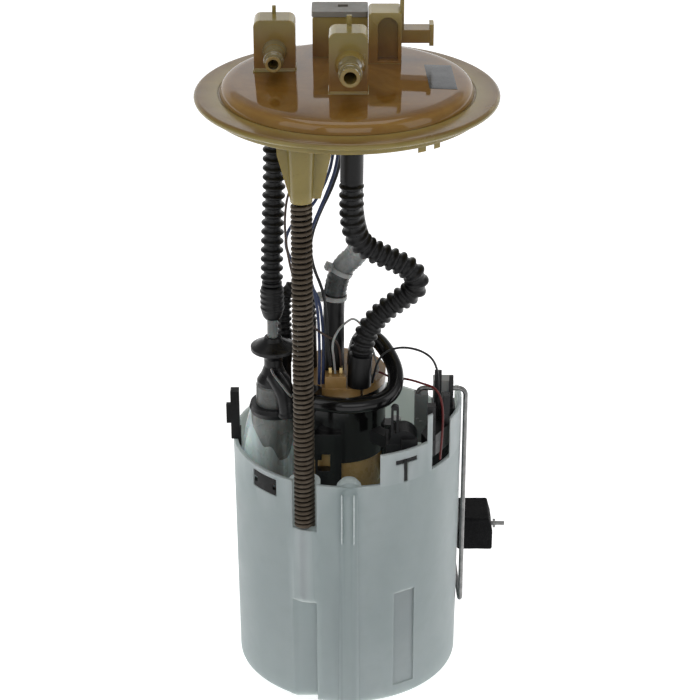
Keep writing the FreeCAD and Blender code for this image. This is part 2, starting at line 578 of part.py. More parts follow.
tall_box = soft_corners(box(10.8, 27.4, 20.0, 36.0, 330.0, 361.0), 2.0, V(0, 1, 0))
shroud = soft_corners(box(-17.5, 10.6, 30.0, 50.0, 330.0, 355.9), 1.5, V(0, 1, 0))
arm_side = fuse(box(27.0, 42.0, 23.0, 33.0, 344.4, 351.2), box(41.4, 43.6, 24.0, 32.0, 342.6, 353.6), box(26.6, 28.6, 24.0, 32.0, 345.0, 369.0), box(-0.1, 2.4, -13.4, -11.9, 364.5, 370.2))
nip1 = fuse(
    cone(-36.0, 9.0, 344.5, 6.2, 5.0, 4.0, "-y"), cyl(-36.0, 6.0, 344.5, S.nipple_return - 0.12, 11.5, "-y"), cyl(-36.0, -5.0, 344.5, S.nipple_return, S.nipple_length - 14.0, "-y"),
    cyl(-36.0, -4.6, 344.5, 4.75, 1.8, "-y"),
)
nip2 = fuse(
    cone(1.6, -25.5, 349.5, 7.4, 6.0, 4.0, "-y"), cyl(1.6, -28.5, 349.5, S.nipple_supply - 0.15, 11.5, "-y"), cyl(1.6, -39.5, 349.5, S.nipple_supply, S.nipple_length - 14.0, "-y"),
    cyl(1.6, -39.1, 349.5, 5.7, 1.8, "-y"),
)
rod_boss = fuse(
    cone(S.rod_x, S.rod_y, 290.0, 5.4, 7.4, 36.4),
    padded([(-27.0, 290.4), (-33.4, 314.0), (-34.0, 326.4), (-22.0, 326.4), (-22.0, 290.4)], 51.6, 3.2, "XZ_Plane"),
    padded([(-12.6, 291.2), (-7.6, 313.0), (-6.8, 326.4), (-22.0, 326.4), (-22.0, 291.2)], 49.6, 3.2, "XZ_Plane"),
)
under = fuse(
    cyl(3.0, -10.0, 305.0, 3.6, 26.4),
    cyl(-36.0, -14.0, 306.0, 3.5, 25.5), cyl(2.4, -35.0, 303.5, 3.8, 28.0), cyl(-6.0, -20.0, 313.0, 6.0, 19.0),
    cyl(-36.0, 18.3, 328.0, 4.3, 36.3, "-y"), cyl(1.9, -12.6, 328.0, 4.6, 27.0, "-y"),
    common(box(41.5, 44.5, -62.0, -46.0, 317.1, 326.0), cut(cyl(0, 0, 300.0, 68.0, 30.0), cyl(0, 0, 299.0, 65.6, 40.0))),
    common(box(33.75, 37.65, -66.0, -48.0, 317.1, 326.0), cut(cyl(0, 0, 300.0, 68.0, 30.0), cyl(0, 0, 299.0, 65.6, 40.0))),
)
flange = cut(
    fuse(cut(plate, hollow), pillar1, pillar2, tall_box, shroud, arm_side, nip1, nip2, rod_boss, under, cyl(-36.4, 21.4, 360.0, 1.0, 4.4)),
    cyl(-36.0, 16.0, 344.5, 2.6, 40.0, "-y"), cyl(1.6, -17.0, 349.5, 3.1, 40.0, "-y"),
    cyl(S.rod_x, S.rod_y, 285.0, S.rod_radius, 37.0),
    cyl(-36.0, -14.0, 300.0, 2.4, 28.0), cyl(2.4, -35.0, 300.0, 2.6, 28.0), cyl(3.0, -10.0, 300.0, 2.3, 27.0), cyl(-36.0, 14.6, 327.8, 2.0, 29.0, "-y"),
    cyl(1.9, -16.4, 327.7, 2.1, 19.0, "-y"), cyl(-36.0, 14.0, 327.0, 2.3, 17.4), cyl(1.7, -17.0, 327.0, 2.5, 22.3),
    box(-14.6, 7.7, 36.0, 51.0, 338.0, 353.6),
    box(15.4, 25.6, 19.0, 26.0, 336.0, 353.4),
    cyl(20.5, 19.0, 353.4, 5.1, 7.0, "y"),
)
node("flange", flange)
node("connector_cap", cut(soft_corners(box(-17.9, 12.2 - 1.6, 29.0, 46.0, 356.0, 358.8), 1.5, V(0, 0, 1)), box(-4.6, 0.4, 37.5, 41.5, 355.0, 360.0)))
node("connector_pins", fuse(*[box(x - 0.4, x + 0.4, 36.0, 46.0, 342.0, 344.0) for x in (-12.0, -7.0, -2.0, 3.0)]))
node("guide_rod", fuse(cyl(S.rod_x, S.rod_y, 98.0, S.rod_radius, 223.9), cyl(S.rod_x, S.rod_y, 96.0, S.rod_head, 2.4)))

# spring between the shelf and the boss
main = rings(SIZES["spring_outer"] - SIZES["spring_wire"], SIZES["spring_wire"], SIZES["spring_pitch"], 66)
main.Placement = FreeCAD.Placement(V(SIZES["rod_x"], SIZES["rod_y"], 108.0), FreeCAD.Rotation())
rs = new("Part::Feature", "long_spring")
rs.Shape = main
node("rod_spring", rs)

# ---------------------------------------------------------------- hoses and wires between the flange and the reservoir
tube("hose_right", [(2.4, -35, 312), (2.2, -35.2, 289), (2.4, -33.4, 268), (7.5, -30, 256.5), (19, -27, 249.5), (30, -24.6, 243), (35.6, -23.4, 236.5), (35, -21.8, 229), (28.5, -19.4, 223), (16.5, -16.8, 212.5), (9, -15.4, 200), (6.7, -15.7, 187), (6.3, -16, 171.2)], S.hose_right_radius, 4.25)
tube("hose_left", [(-36, -14, 312), (-36.2, -13.4, 290), (-37.2, -13, 268), (-38.2, -13.4, 247), (-38.5, -14, 228.2)], S.hose_left_radius, 3.95)
node("hose_left_cuff", cut(revolved([(0, 208.8), (5.2, 208.8), (6.2, 211.0), (6.2, 225.8), (5.6, 227.5), (0, 227.5)], vx, vy), cyl(vx, vy, 200.0, 2.9, 40.0)))
tube("hose_third", [(-20, 6, 171.2), (-20.3, 6.2, 187), (-20, 5.8, 203), (-20.2, 6, 215), (-26.7, 4.4, 219), (-33, 2.5, 215), (-33.4, 2.3, 203), (-33, 2.9, 189), (-33.3, 3.2, 175.6)], S.hose_third_radius, 2.75)
tube("hose_loop", [(4, 9, 171.2), (4.2, 9, 181), (8.5, 8, 189), (16, 4, 188), (22, -4, 183), (25.8, -13, 177), (24.8, -22, 171), (18, -29, 168), (7, -32, 167.4), (-1, -32.4, 167.2), (-8, -30.6, 167), (-16, -27.75, 166.8)], S.hose_loop_radius, 2.8)
tube("hose_tied", [(-7, -6, 171.2), (-7, -6, 190), (-7, -5.4, 206), (-6.6, -4.8, 218), (-4.8, -4.2, 227.5), (-1.5, -3.6, 234.5), (4.5, -3.4, 239.5), (7.4, -4.4, 246.5), (4.4, -6, 256), (2.4, -8, 270), (2.8, -9.6, 288), (3, -10, 312)], S.hose_tied_radius, 3.85)
ties = []
for x, y, z, nx, ny, nz in ((-3.6, -3.98, 229.8, 3.3, 0.6, 7.0), (-6.5, -4.85, 215.6, 0.8, 0.4, 10.0)):
    ax = V(nx, ny, nz)
    ax.normalize()
    ring = Part.makeCylinder(6.7, 2.6, V(x, y, z), ax).cut(Part.makeCylinder(5.65, 4.0, V(x, y, z) - ax * 0.5, ax))
    head = Part.makeBox(3.6, 3.0, 4.2, V(x - 9.6, y - 1.5, z - 0.6))
    ties.append(ring.fuse(head.cut(Part.makeCylinder(6.2, 8.0, V(x, y, z) - ax * 3.0, ax))))
tn = new("Part::Feature", "tie_pair")
tied = [o for o in NODES if o.Label == "hose_tied"][0].Shape
tn.Shape = Part.makeCompound([one.cut(tied) for one in ties])
node("cable_ties", tn)
w = S.wire_radius
blue = [
    tube("wire_blue_a", [(-3.5, -21.5, 312.8), (-4.5, -22, 298), (-9, -22.5, 284), (-15, -23, 270), (-20.5, -23.4, 255), (-20.5, -22.4, 240), (-16.8, -20.8, 228), (-15, -19.4, 216), (-14.4, -17.8, 201), (-14.3, -16.2, 186), (-14.7, -15.2, 171.2)], w),
    tube("wire_blue_b", [(-6, -19.4, 312.8), (-6.6, -20.2, 299), (-11.4, -21, 285), (-18, -21.2, 273), (-26.5, -20.4, 266), (-31.5, -19.4, 256), (-29.5, -18.8, 245), (-22, -17.8, 234), (-14.6, -17, 223), (-12.6, -16.4, 208), (-12.2, -15.4, 189), (-12.7, -14.6, 171.2)], w),
]
for f in blue:
    NODES.remove(f)
pair = new("Part::Feature", "blue_pair")
pair.Shape = Part.makeCompound([f.Shape for f in blue])
node("wires_blue", pair)
tube("wire_black", [(-2.2, -17.5, 312.8), (-2.6, -17, 298), (-7, -16.6, 283), (-14, -16, 268), (-19, -14.8, 252), (-17.5, -14.2, 238), (-12.2, -15, 225), (-10.6, -17.2, 212), (-10.2, -18.6, 200), (-9.8, -17.8, 191), (-8.8, -16.8, 182.9)], w)
tube("wire_brown", [(-10.4, -22.6, 312.8), (-14, -25, 304), (-22, -28.5, 297), (-29, -30, 286), (-31, -30, 272), (-30.6, -28.4, 258), (-29, -27, 246), (-26.5, -25.4, 234), (-23.5, -24, 222), (-18, -22.4, 208), (-10.8, -21.4, 202), (-5.4, -20.6, 199), (-3.4, -18, 191), (-3.2, -16.8, 182.9)], S.wire_radius * 0.75)
tube("wire_white", [(-6.2, -16.8, 178.2), (-6.8, -18, 187), (-7.6, -22.4, 195), (-7, -24, 202), (-3.6, -21.6, 207), (0, -14.4, 207), (3.4, -5.6, 205), (8, 0, 198), (12.6, -0.8, 187), (15.8, -6.4, 178.5), (16.4, -10.4, 175.6), (14.4, -11.8, 175.2), (12.5, -11.4, 173.9), (12.4, -11.4, 171.2)], S.wire_radius * 0.75)
tube("wire_sender_black", [(13.2, -13.6, 171.2), (14.6, -15.2, 181), (18, -15.4, 188.5), (24, -16, 192.4), (31, -18, 194), (38.7, -19.5, 192.6), (44.5, -19.2, 188), (47.4, -17.6, 179.5), (47.8, -16.6, 168), (47.8, -16.6, 152.6)], S.wire_radius * 0.75)
tube("wire_sender_red", [(14, -7.4, 171.2), (14.2, -6.8, 174.6), (17.6, -5.6, 173.2), (22.6, -6.6, 170.6), (28, -11.6, 172.8), (34, -16.4, 174), (40, -22, 174.6), (45, -27, 175.4), (48.2, -31.5, 172.8), (49.6, -35, 166), (49.4, -36.8, 153), (48.4, -36.4, 138)], S.wire_radius * 0.75)

doc.recompute()

bad = ["%s (%s) %s" % (o.Name, o.Label, [getattr(q, "Name", q) for q in (o.OutList or [])]) for o in doc.Objects if "Invalid" in o.State or "Error" in o.State]
if bad:
    raise RuntimeError("failed objects: %s" % bad)
labels = [o.Label for o in NODES]
if len(set(labels)) != len(labels) or len(labels) > 60:
    raise RuntimeError("labels repeat or are too many: %d" % len(labels))
for o in NODES:
    if o.Shape.isNull() or not o.Shape.isValid() or not o.Shape.Solids:
        raise RuntimeError("%s has no valid solid" % o.Label)
for name in os.listdir("parts"):
    if name.endswith(".step"):
        os.remove(os.path.join("parts", name))
for o in NODES:
    o.Shape.exportStep("parts/%s.step" % o.Label)
    print("%-20s solids %d volume %.0f" % (o.Label, len(o.Shape.Solids), o.Shape.Volume))
print(len(NODES), "nodes")
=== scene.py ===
# Looks of the fuel pump module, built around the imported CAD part. Metres, world Z up.
import json
import math
import random

import bmesh
import bpy
from mathutils import Matrix, Vector, noise


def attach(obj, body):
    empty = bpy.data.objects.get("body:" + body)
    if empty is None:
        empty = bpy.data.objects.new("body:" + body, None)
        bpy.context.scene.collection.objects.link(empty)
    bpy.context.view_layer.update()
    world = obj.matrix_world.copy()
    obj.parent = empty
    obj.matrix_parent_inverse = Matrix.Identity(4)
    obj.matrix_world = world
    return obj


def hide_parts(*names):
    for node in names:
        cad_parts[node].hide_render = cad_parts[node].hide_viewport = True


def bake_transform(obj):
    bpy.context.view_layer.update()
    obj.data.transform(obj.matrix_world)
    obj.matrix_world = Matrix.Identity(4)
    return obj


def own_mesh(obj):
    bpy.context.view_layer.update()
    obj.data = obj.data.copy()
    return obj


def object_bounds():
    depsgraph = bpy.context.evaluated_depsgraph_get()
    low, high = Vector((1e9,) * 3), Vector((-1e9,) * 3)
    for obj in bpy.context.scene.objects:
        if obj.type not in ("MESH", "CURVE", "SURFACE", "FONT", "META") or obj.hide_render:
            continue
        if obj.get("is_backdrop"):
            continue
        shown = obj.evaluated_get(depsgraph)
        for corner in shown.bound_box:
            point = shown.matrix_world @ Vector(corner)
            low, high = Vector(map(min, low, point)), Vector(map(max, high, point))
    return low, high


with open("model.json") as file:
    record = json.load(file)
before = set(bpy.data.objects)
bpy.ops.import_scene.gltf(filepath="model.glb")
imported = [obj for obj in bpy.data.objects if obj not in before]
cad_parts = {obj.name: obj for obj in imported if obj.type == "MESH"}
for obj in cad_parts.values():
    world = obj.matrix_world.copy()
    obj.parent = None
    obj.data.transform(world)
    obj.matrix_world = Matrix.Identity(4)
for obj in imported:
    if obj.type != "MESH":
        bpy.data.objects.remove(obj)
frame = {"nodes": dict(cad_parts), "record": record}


def listed(box):
    return [float(x) for corner in box for x in (corner if hasattr(corner, "__len__") else [corner])]


CAD_BOX = listed(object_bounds())
RES, FLA, ARM, FLO = "reservoir", "flange", "float_arm", "float"
SC = bpy.context.scene
SC.view_settings.view_transform = "Standard"
SC.view_settings.look = "None"
SLOT_OF = {p["node"]: p["material_slot"] for p in frame["record"]["subparts"]}

# ------------------------------------------------------------------ camera
cam_data = bpy.data.cameras.new("camera")
cam_data.sensor_width = 36
cam_data.lens = 108
cam_data.clip_end = 60
cam = bpy.data.objects.new("camera", cam_data)
cam.location = (0.0015, -0.991, 0.6775)
cam.rotation_euler = (math.radians(63.5), 0, 0)
SC.collection.objects.link(cam)
SC.camera = cam


# ------------------------------------------------------------------ mesh helpers (millimetres in, metres out)
def mm(p):
    return Vector(p) * 0.001


def grab(bm):
    bm.verts.index_update()
    part = ([v.co.copy() for v in bm.verts], [[v.index for v in f.verts] for f in bm.faces])
    bm.free()
    return part


def merge(*parts):
    vs, fs = [], []
    for v, f in parts:
        n = len(vs)
        vs += v
        fs += [[i + n for i in q] for q in f]
    return vs, fs


def moved(part, by=(0, 0, 0), turn=None):
    v, f = part
    m = Matrix.Translation(mm(by)) @ (turn.to_4x4() if turn else Matrix.Identity(4))
    return [m @ p for p in v], f


def piece(name, part, body, mat, over=(), smooth=38, blend=None):
    me = bpy.data.meshes.new(name)
    me.from_pydata([tuple(v) for v in part[0]], [], part[1])
    bm = bmesh.new()
    bm.from_mesh(me)
    bmesh.ops.recalc_face_normals(bm, faces=bm.faces)
    for f in bm.faces:
        f.smooth = True
    lim = math.radians(smooth)
    for e in bm.edges:
        e.smooth = len(e.link_faces) != 2 or e.calc_face_angle(0) < lim
    bm.to_mesh(me)
    bm.free()
    ob = bpy.data.objects.new(name, me)
    SC.collection.objects.link(ob)
    for m in mat if isinstance(mat, (list, tuple)) else [mat]:
        me.materials.append(m)
    if blend:
        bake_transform(ob)
    else:
        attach(ob, body)
    if over:
        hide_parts(*over)
    return ob


def rounded(prof, n=4):
    """prof: (r, h) or (r, h, fillet) in mm; corners with a fillet become arcs."""
    out = []
    for i, p in enumerate(prof):
        if len(p) < 3 or not p[2] or i in (0, len(prof) - 1):
            out.append((p[0], p[1]))
            continue
        a, b, c = Vector(prof[i - 1][:2]), Vector(p[:2]), Vector(prof[i + 1][:2])
        d = min(p[2], 0.48 * (a - b).length, 0.48 * (c - b).length)
        s, e = b + (a - b).normalized() * d, b + (c - b).normalized() * d
        for k in range(n + 1):
            t = k / n
            out.append(tuple(s * (1 - t) ** 2 + b * 2 * t * (1 - t) + e * t * t))
    return out


AXES = {"z": Matrix.Identity(3), "x": Matrix(((0, 0, 1), (1, 0, 0), (0, 1, 0))), "y": Matrix(((1, 0, 0), (0, 0, 1), (0, -1, 0))),
        "-y": Matrix(((1, 0, 0), (0, 0, -1), (0, 1, 0)))}


def lathe(prof, at=(0, 0, 0), axis="z", seg=64, n=4, ripple=None):
    prof = rounded(prof, n)
    m = AXES[axis]
    vs, rings = [], []
    for r, h in prof:
        if r < 1e-6:
            rings.append([len(vs)])
            vs.append(mm(m @ Vector((0, 0, h))) + mm(at))
        else:
            rings.append(list(range(len(vs), len(vs) + seg)))
            for k in range(seg):
                a = 2 * math.pi * k / seg
                rr = r + (ripple(a, h, r) if ripple else 0)
                vs.append(mm(m @ Vector((rr * math.cos(a), rr * math.sin(a), h))) + mm(at))
    fs = []
    for a, b in zip(rings, rings[1:]):
        for k in range(seg):
            k2 = (k + 1) % seg
            if len(a) == 1 and len(b) > 1:
                fs.append([a[0], b[k], b[k2]])
            elif len(b) == 1 and len(a) > 1:
                fs.append([a[k], b[0], a[k2]])
            elif len(a) > 1:
                fs.append([a[k], b[k], b[k2], a[k2]])
    return vs, fs


def shell(prof, **kw):
    """A lathe whose profile is closed on itself, as a tube's is."""
    vs, fs = lathe(list(prof) + [prof[0]], **kw)
    seg = kw.get("seg", 64)
    n = len(vs) - seg
    return vs[:n], [[i - n if i >= n else i for i in f] for f in fs]


def block(x0, x1, y0, y1, z0, z1, bev=0.6, seg=3):
    bm = bmesh.new()
    bmesh.ops.create_cube(bm, size=1)
    for v in bm.verts:
        v.co = mm(((x0 + x1) / 2 + v.co.x * (x1 - x0), (y0 + y1) / 2 + v.co.y * (y1 - y0), (z0 + z1) / 2 + v.co.z * (z1 - z0)))
    if bev:
        bmesh.ops.bevel(bm, geom=bm.edges[:], offset=bev * 0.001, segments=seg, profile=0.5, affect="EDGES", clamp_overlap=True)
    return grab(bm)


def prism(outline, axis, lo, hi, bev=0.5, seg=3):
    """outline in (x,y) for z, (x,z) for y, (y,z) for x; mm."""
    put = {"z": lambda a, b, c: (a, b, c), "y": lambda a, b, c: (a, c, b), "x": lambda a, b, c: (c, a, b)}[axis]
    bm = bmesh.new()
    low = [bm.verts.new(mm(put(a, b, lo))) for a, b in outline]
    top = [bm.verts.new(mm(put(a, b, hi))) for a, b in outline]
    n = len(low)
    bm.faces.new(low)
    bm.faces.new(top[::-1])
    for i in range(n):
        j = (i + 1) % n
        bm.faces.new([low[i], top[i], top[j], low[j]])
    bmesh.ops.recalc_face_normals(bm, faces=bm.faces)
    if bev:
        ed = [e for e in bm.edges if e.calc_face_angle(0) > math.radians(30)]
        bmesh.ops.bevel(bm, geom=ed, offset=bev * 0.001, segments=seg, profile=0.5, affect="EDGES", clamp_overlap=True)
    return grab(bm)


def smooth_line(route, step=0.6):
    """Points, about step mm apart, read from the NURBS spline whose control points are the route."""
    cu = bpy.data.curves.new("route", "CURVE")
    cu.dimensions = "3D"
    sp = cu.splines.new("NURBS")
    sp.points.add(len(route) - 1)
    for p, q in zip(sp.points, route):
        p.co = (*mm(q), 1)
    sp.order_u = 3
    sp.use_endpoint_u = True
    sp.resolution_u = 32
    ob = bpy.data.objects.new("route", cu)
    SC.collection.objects.link(ob)
    bpy.context.view_layer.update()
    me = bpy.data.meshes.new_from_object(ob)
    pts = [v.co.copy() for v in me.vertices]
    bpy.data.objects.remove(ob)
    bpy.data.meshes.remove(me)
    bpy.data.curves.remove(cu)
    at = [0.0]
    for a, b in zip(pts, pts[1:]):
        at.append(at[-1] + (b - a).length)
    n = max(8, round(at[-1] / (step * 0.001)))
    out, i = [], 0
    for k in range(n + 1):
        s = at[-1] * k / n
        while i < len(at) - 2 and at[i + 1] < s:
            i += 1
        t = (s - at[i]) / max(1e-9, at[i + 1] - at[i])
        out.append(pts[i].lerp(pts[i + 1], t))
    return out


def arc(pts):
    s = [0.0]
    for a, b in zip(pts, pts[1:]):
        s.append(s[-1] + (b - a).length)
    return s


def tube(pts, radius, seg=20, caps=True, spin=None):
    """radius(s, length) in metres at arc length s."""
    s = arc(pts)
    n = len(pts)
    tang = [(pts[min(i + 1, n - 1)] - pts[max(i - 1, 0)]).normalized() for i in range(n)]
    u = tang[0].orthogonal().normalized()
    vs, fs = [], []
    for i in range(n):
        u = (u - tang[i] * u.dot(tang[i])).normalized()
        w = tang[i].cross(u)
        for k in range(seg):
            a = 2 * math.pi * k / seg + (spin(s[i]) if spin else 0)
            r = radius(s[i], s[-1])
            vs.append(pts[i] + (u * math.cos(a) + w * math.sin(a)) * r)
    for i in range(n - 1):
        for k in range(seg):
            k2 = (k + 1) % seg
            fs.append([i * seg + k, i * seg + k2, (i + 1) * seg + k2, (i + 1) * seg + k])
    if caps:
        fs.append(list(range(seg))[::-1])
        fs.append([(n - 1) * seg + k for k in range(seg)])
    return vs, fs


def ribbed(root, crest, pitch, cuff0, cuff1, rc0=None, rc1=None):
    """Radius along a corrugated hose (mm in), with plain cuffs at its ends."""
    shape = [(0, 0), (0.18, 0), (0.27, 0.2), (0.36, 0.7), (0.43, 0.96), (0.5, 1), (0.57, 0.96), (0.64, 0.7), (0.73, 0.2), (0.82, 0), (1, 0)]

    def radius(s, total):
        x, length = s * 1000, total * 1000
        if x < cuff0:
            return (rc0 or crest) * 0.001
        if x > length - cuff1:
            return (rc1 or crest) * 0.001
        room = length - cuff0 - cuff1
        turns = max(1, round(room / pitch))
        f = ((x - cuff0) / room * turns) % 1
        for (a, p), (b, q) in zip(shape, shape[1:]):
            if a <= f <= b:
                return (root + (crest - root) * (p + (q - p) * (f - a) / (b - a))) * 0.001
        return root * 0.001
    return radius


# ------------------------------------------------------------------ materials
class Mat:
    def __init__(self, name, **const):
        self.m = bpy.data.materials.new(name)
        self.m.use_nodes = True
        self.nt = self.m.node_tree
        self.nt.nodes.clear()
        self.out = self.nt.nodes.new("ShaderNodeOutputMaterial")
        self.b = self.nt.nodes.new("ShaderNodeBsdfPrincipled")
        self.nt.links.new(self.b.outputs[0], self.out.inputs[0])
        self.tc = self.nt.nodes.new("ShaderNodeTexCoord")
        for k, v in const.items():
            self.b.inputs[k.replace("_", " ")].default_value = v

    def node(self, kind, **inputs):
        n = self.nt.nodes.new("ShaderNode" + kind)
        for k, v in inputs.items():
            key = k.replace("_", " ")
            if hasattr(v, "is_output"):
                self.nt.links.new(v, n.inputs[key])
            else:
                n.inputs[key].default_value = v
        return n

    def coords(self, stretch=(1, 1, 1)):
        if stretch == (1, 1, 1):
            return self.tc.outputs["Object"]
        return self.node("Mapping", Vector=self.tc.outputs["Object"], Scale=stretch).outputs[0]

    def noise(self, scale, detail=3.0, rough=0.5, dist=0.0, stretch=(1, 1, 1)):
        return self.node("TexNoise", Vector=self.coords(stretch), Scale=scale, Detail=detail, Roughness=rough, Distortion=dist).outputs["Fac"]

    def ramp(self, fac, stops):
        n = self.node("ValToRGB", Fac=fac)
        el = n.color_ramp.elements
        while len(el) > 1:
            el.remove(el[-1])
        el[0].position, el[0].color = stops[0][0], (*stops[0][1], 1)
        for p, c in stops[1:]:
            e = el.new(p)
            e.color = (*c, 1)
        return n.outputs["Color"]

    def mixed(self, fac, a, b):
        n = self.nt.nodes.new("ShaderNodeMix")
        n.data_type = "RGBA"
        for sock, v in ((n.inputs[0], fac), (n.inputs[6], a), (n.inputs[7], b)):
            if hasattr(v, "is_output"):
                self.nt.links.new(v, sock)
            else:
                sock.default_value = v if isinstance(v, (int, float)) else (*v, 1)
        return n.outputs[2]

    def span(self, v, a, b, lo, hi):
        n = self.node("MapRange", Value=v)
        for k, x in zip((1, 2, 3, 4), (a, b, lo, hi)):
            n.inputs[k].default_value = x
        return n.outputs[0]

    def set(self, name, v):
        self.nt.links.new(v, self.b.inputs[name])

    def relief(self, heights, edge=0.0):
        """heights: (height socket, strength, distance in m); edge: rounding radius in m."""
        normal = None
        if edge:
            e = self.nt.nodes.new("ShaderNodeBevel")
            e.samples = 4
            e.inputs["Radius"].default_value = edge
            normal = e.outputs[0]
        for h, strength, dist in heights:
            n = self.node("Bump", Height=h, Strength=strength, Distance=dist)
            if normal:
                self.nt.links.new(normal, n.inputs["Normal"])
            normal = n.outputs[0]
        if normal:
            self.set("Normal", normal)


def plastic(name, dark, light, rough=(0.3, 0.45), scale=60, grain=1800, depth=0.00003, edge=0.0004, wear=None, stretch=(1, 1, 1), **const):
    m = Mat(name, **const)
    big = m.noise(scale, 4, 0.55, 0.3, stretch)
    col = m.ramp(big, [(0.32, dark), (0.68, light)])
    if wear:
        geo = m.nt.nodes.new("ShaderNodeNewGeometry")
        edgy = m.span(geo.outputs["Pointiness"], 0.52, 0.6, 0, 0.55)
        col = m.mixed(edgy, col, wear)
    m.set("Base Color", col)
    m.set("Roughness", m.span(m.noise(scale * 4, 3, 0.6), 0.3, 0.7, *rough))
    fine = m.noise(grain, 2, 0.5)
    wide = m.noise(scale * 1.6, 2, 0.5)
    m.relief([(wide, 0.35, 0.0003), (fine, 0.35, depth)], edge)
    return m.m


def metal(name, dark, light, rough=(0.22, 0.4), scale=300, stretch=(1, 1, 1), edge=0.0002, **const):
    m = Mat(name, Metallic=1.0, **const)
    streak = m.noise(scale, 4, 0.6, 0.2, stretch)
    m.set("Base Color", m.ramp(streak, [(0.3, dark), (0.7, light)]))
    m.set("Roughness", m.span(m.noise(scale * 0.6, 4, 0.6), 0.3, 0.7, *rough))
    m.relief([(streak, 0.3, 0.00003)], edge)
    return m.m


def can_material():
    m = Mat("can_plastic", Subsurface_Weight=0.8, Subsurface_Scale=0.010, IOR=1.48, Specular_IOR_Level=0.22)
    m.b.inputs["Subsurface Radius"].default_value = (1.0, 1.0, 0.92)
    flow = m.noise(14, 3, 0.5, 0.8, (1, 1, 0.45))
    mottled = m.noise(120, 4, 0.55)
    col = m.ramp(flow, [(0.3, (0.335, 0.395, 0.40)), (0.7, (0.42, 0.48, 0.483))])
    col = m.mixed(m.span(mottled, 0.45, 0.75, 0, 0.22), col, (0.31, 0.365, 0.36))
    geo = m.nt.nodes.new("ShaderNodeNewGeometry")
    # Painted highlight: convex edges of the can are mixed towards a pale grey-white.
    col = m.mixed(m.span(geo.outputs["Pointiness"], 0.53, 0.62, 0, 0.45), col, (0.58, 0.64, 0.64))
    at = m.node("SeparateXYZ", Vector=m.tc.outputs["Object"])
    # Painted shade: a darker stripe down the middle of the front column, x about -5 to 5 mm, on faces in front of y =
    # -61 mm.
    shade_stripe_x = m.node("Math", Value=m.span(at.outputs["X"], -0.0060, -0.0042, 0, 1))
    shade_stripe_x.operation = "MULTIPLY"
    m.nt.links.new(m.span(at.outputs["X"], 0.0046, 0.0062, 1, 0), shade_stripe_x.inputs[1])
    front = m.node("Math", Value=shade_stripe_x.outputs[0])
    front.operation = "MULTIPLY"
    m.nt.links.new(m.span(at.outputs["Y"], -0.0610, -0.0604, 0.42, 0), front.inputs[1])
    col = m.mixed(front.outputs[0], col, (0.235, 0.285, 0.29))
    m.set("Base Color", col)
    # Painted light: faces inside radius 58.6 mm emit a faint pale glow, stronger to the left and towards the top.
    away = m.node("VectorMath", Vector=m.coords((1, 1, 0)))
    away.operation = "LENGTH"
    inner = m.node("Math", Value=m.span(away.outputs["Value"], 0.0586, 0.0592, 1, 0))
    inner.operation = "MULTIPLY"
    m.nt.links.new(m.span(at.outputs["X"], -0.03, 0.03, 0.13, 0.05), inner.inputs[1])
    painted_glow = m.node("Math", Value=inner.outputs[0])
    painted_glow.operation = "MULTIPLY"
    m.nt.links.new(m.span(at.outputs["Z"], 0.06, 0.13, 0.15, 1), painted_glow.inputs[1])
    m.b.inputs["Emission Color"].default_value = (0.90, 1.0, 0.98, 1)
    m.set("Emission Strength", painted_glow.outputs[0])
    m.set("Roughness", m.span(m.noise(90, 4, 0.6), 0.3, 0.7, 0.40, 0.56))
    fine = m.noise(1500, 2, 0.5)
    scuff = m.noise(500, 5, 0.7, 0.6, (1, 1, 0.06))
    m.relief([(m.noise(40, 2, 0.5), 0.4, 0.0005), (scuff, 0.14, 0.00004), (fine, 0.3, 0.00003)], 0.0006)
    return m.m


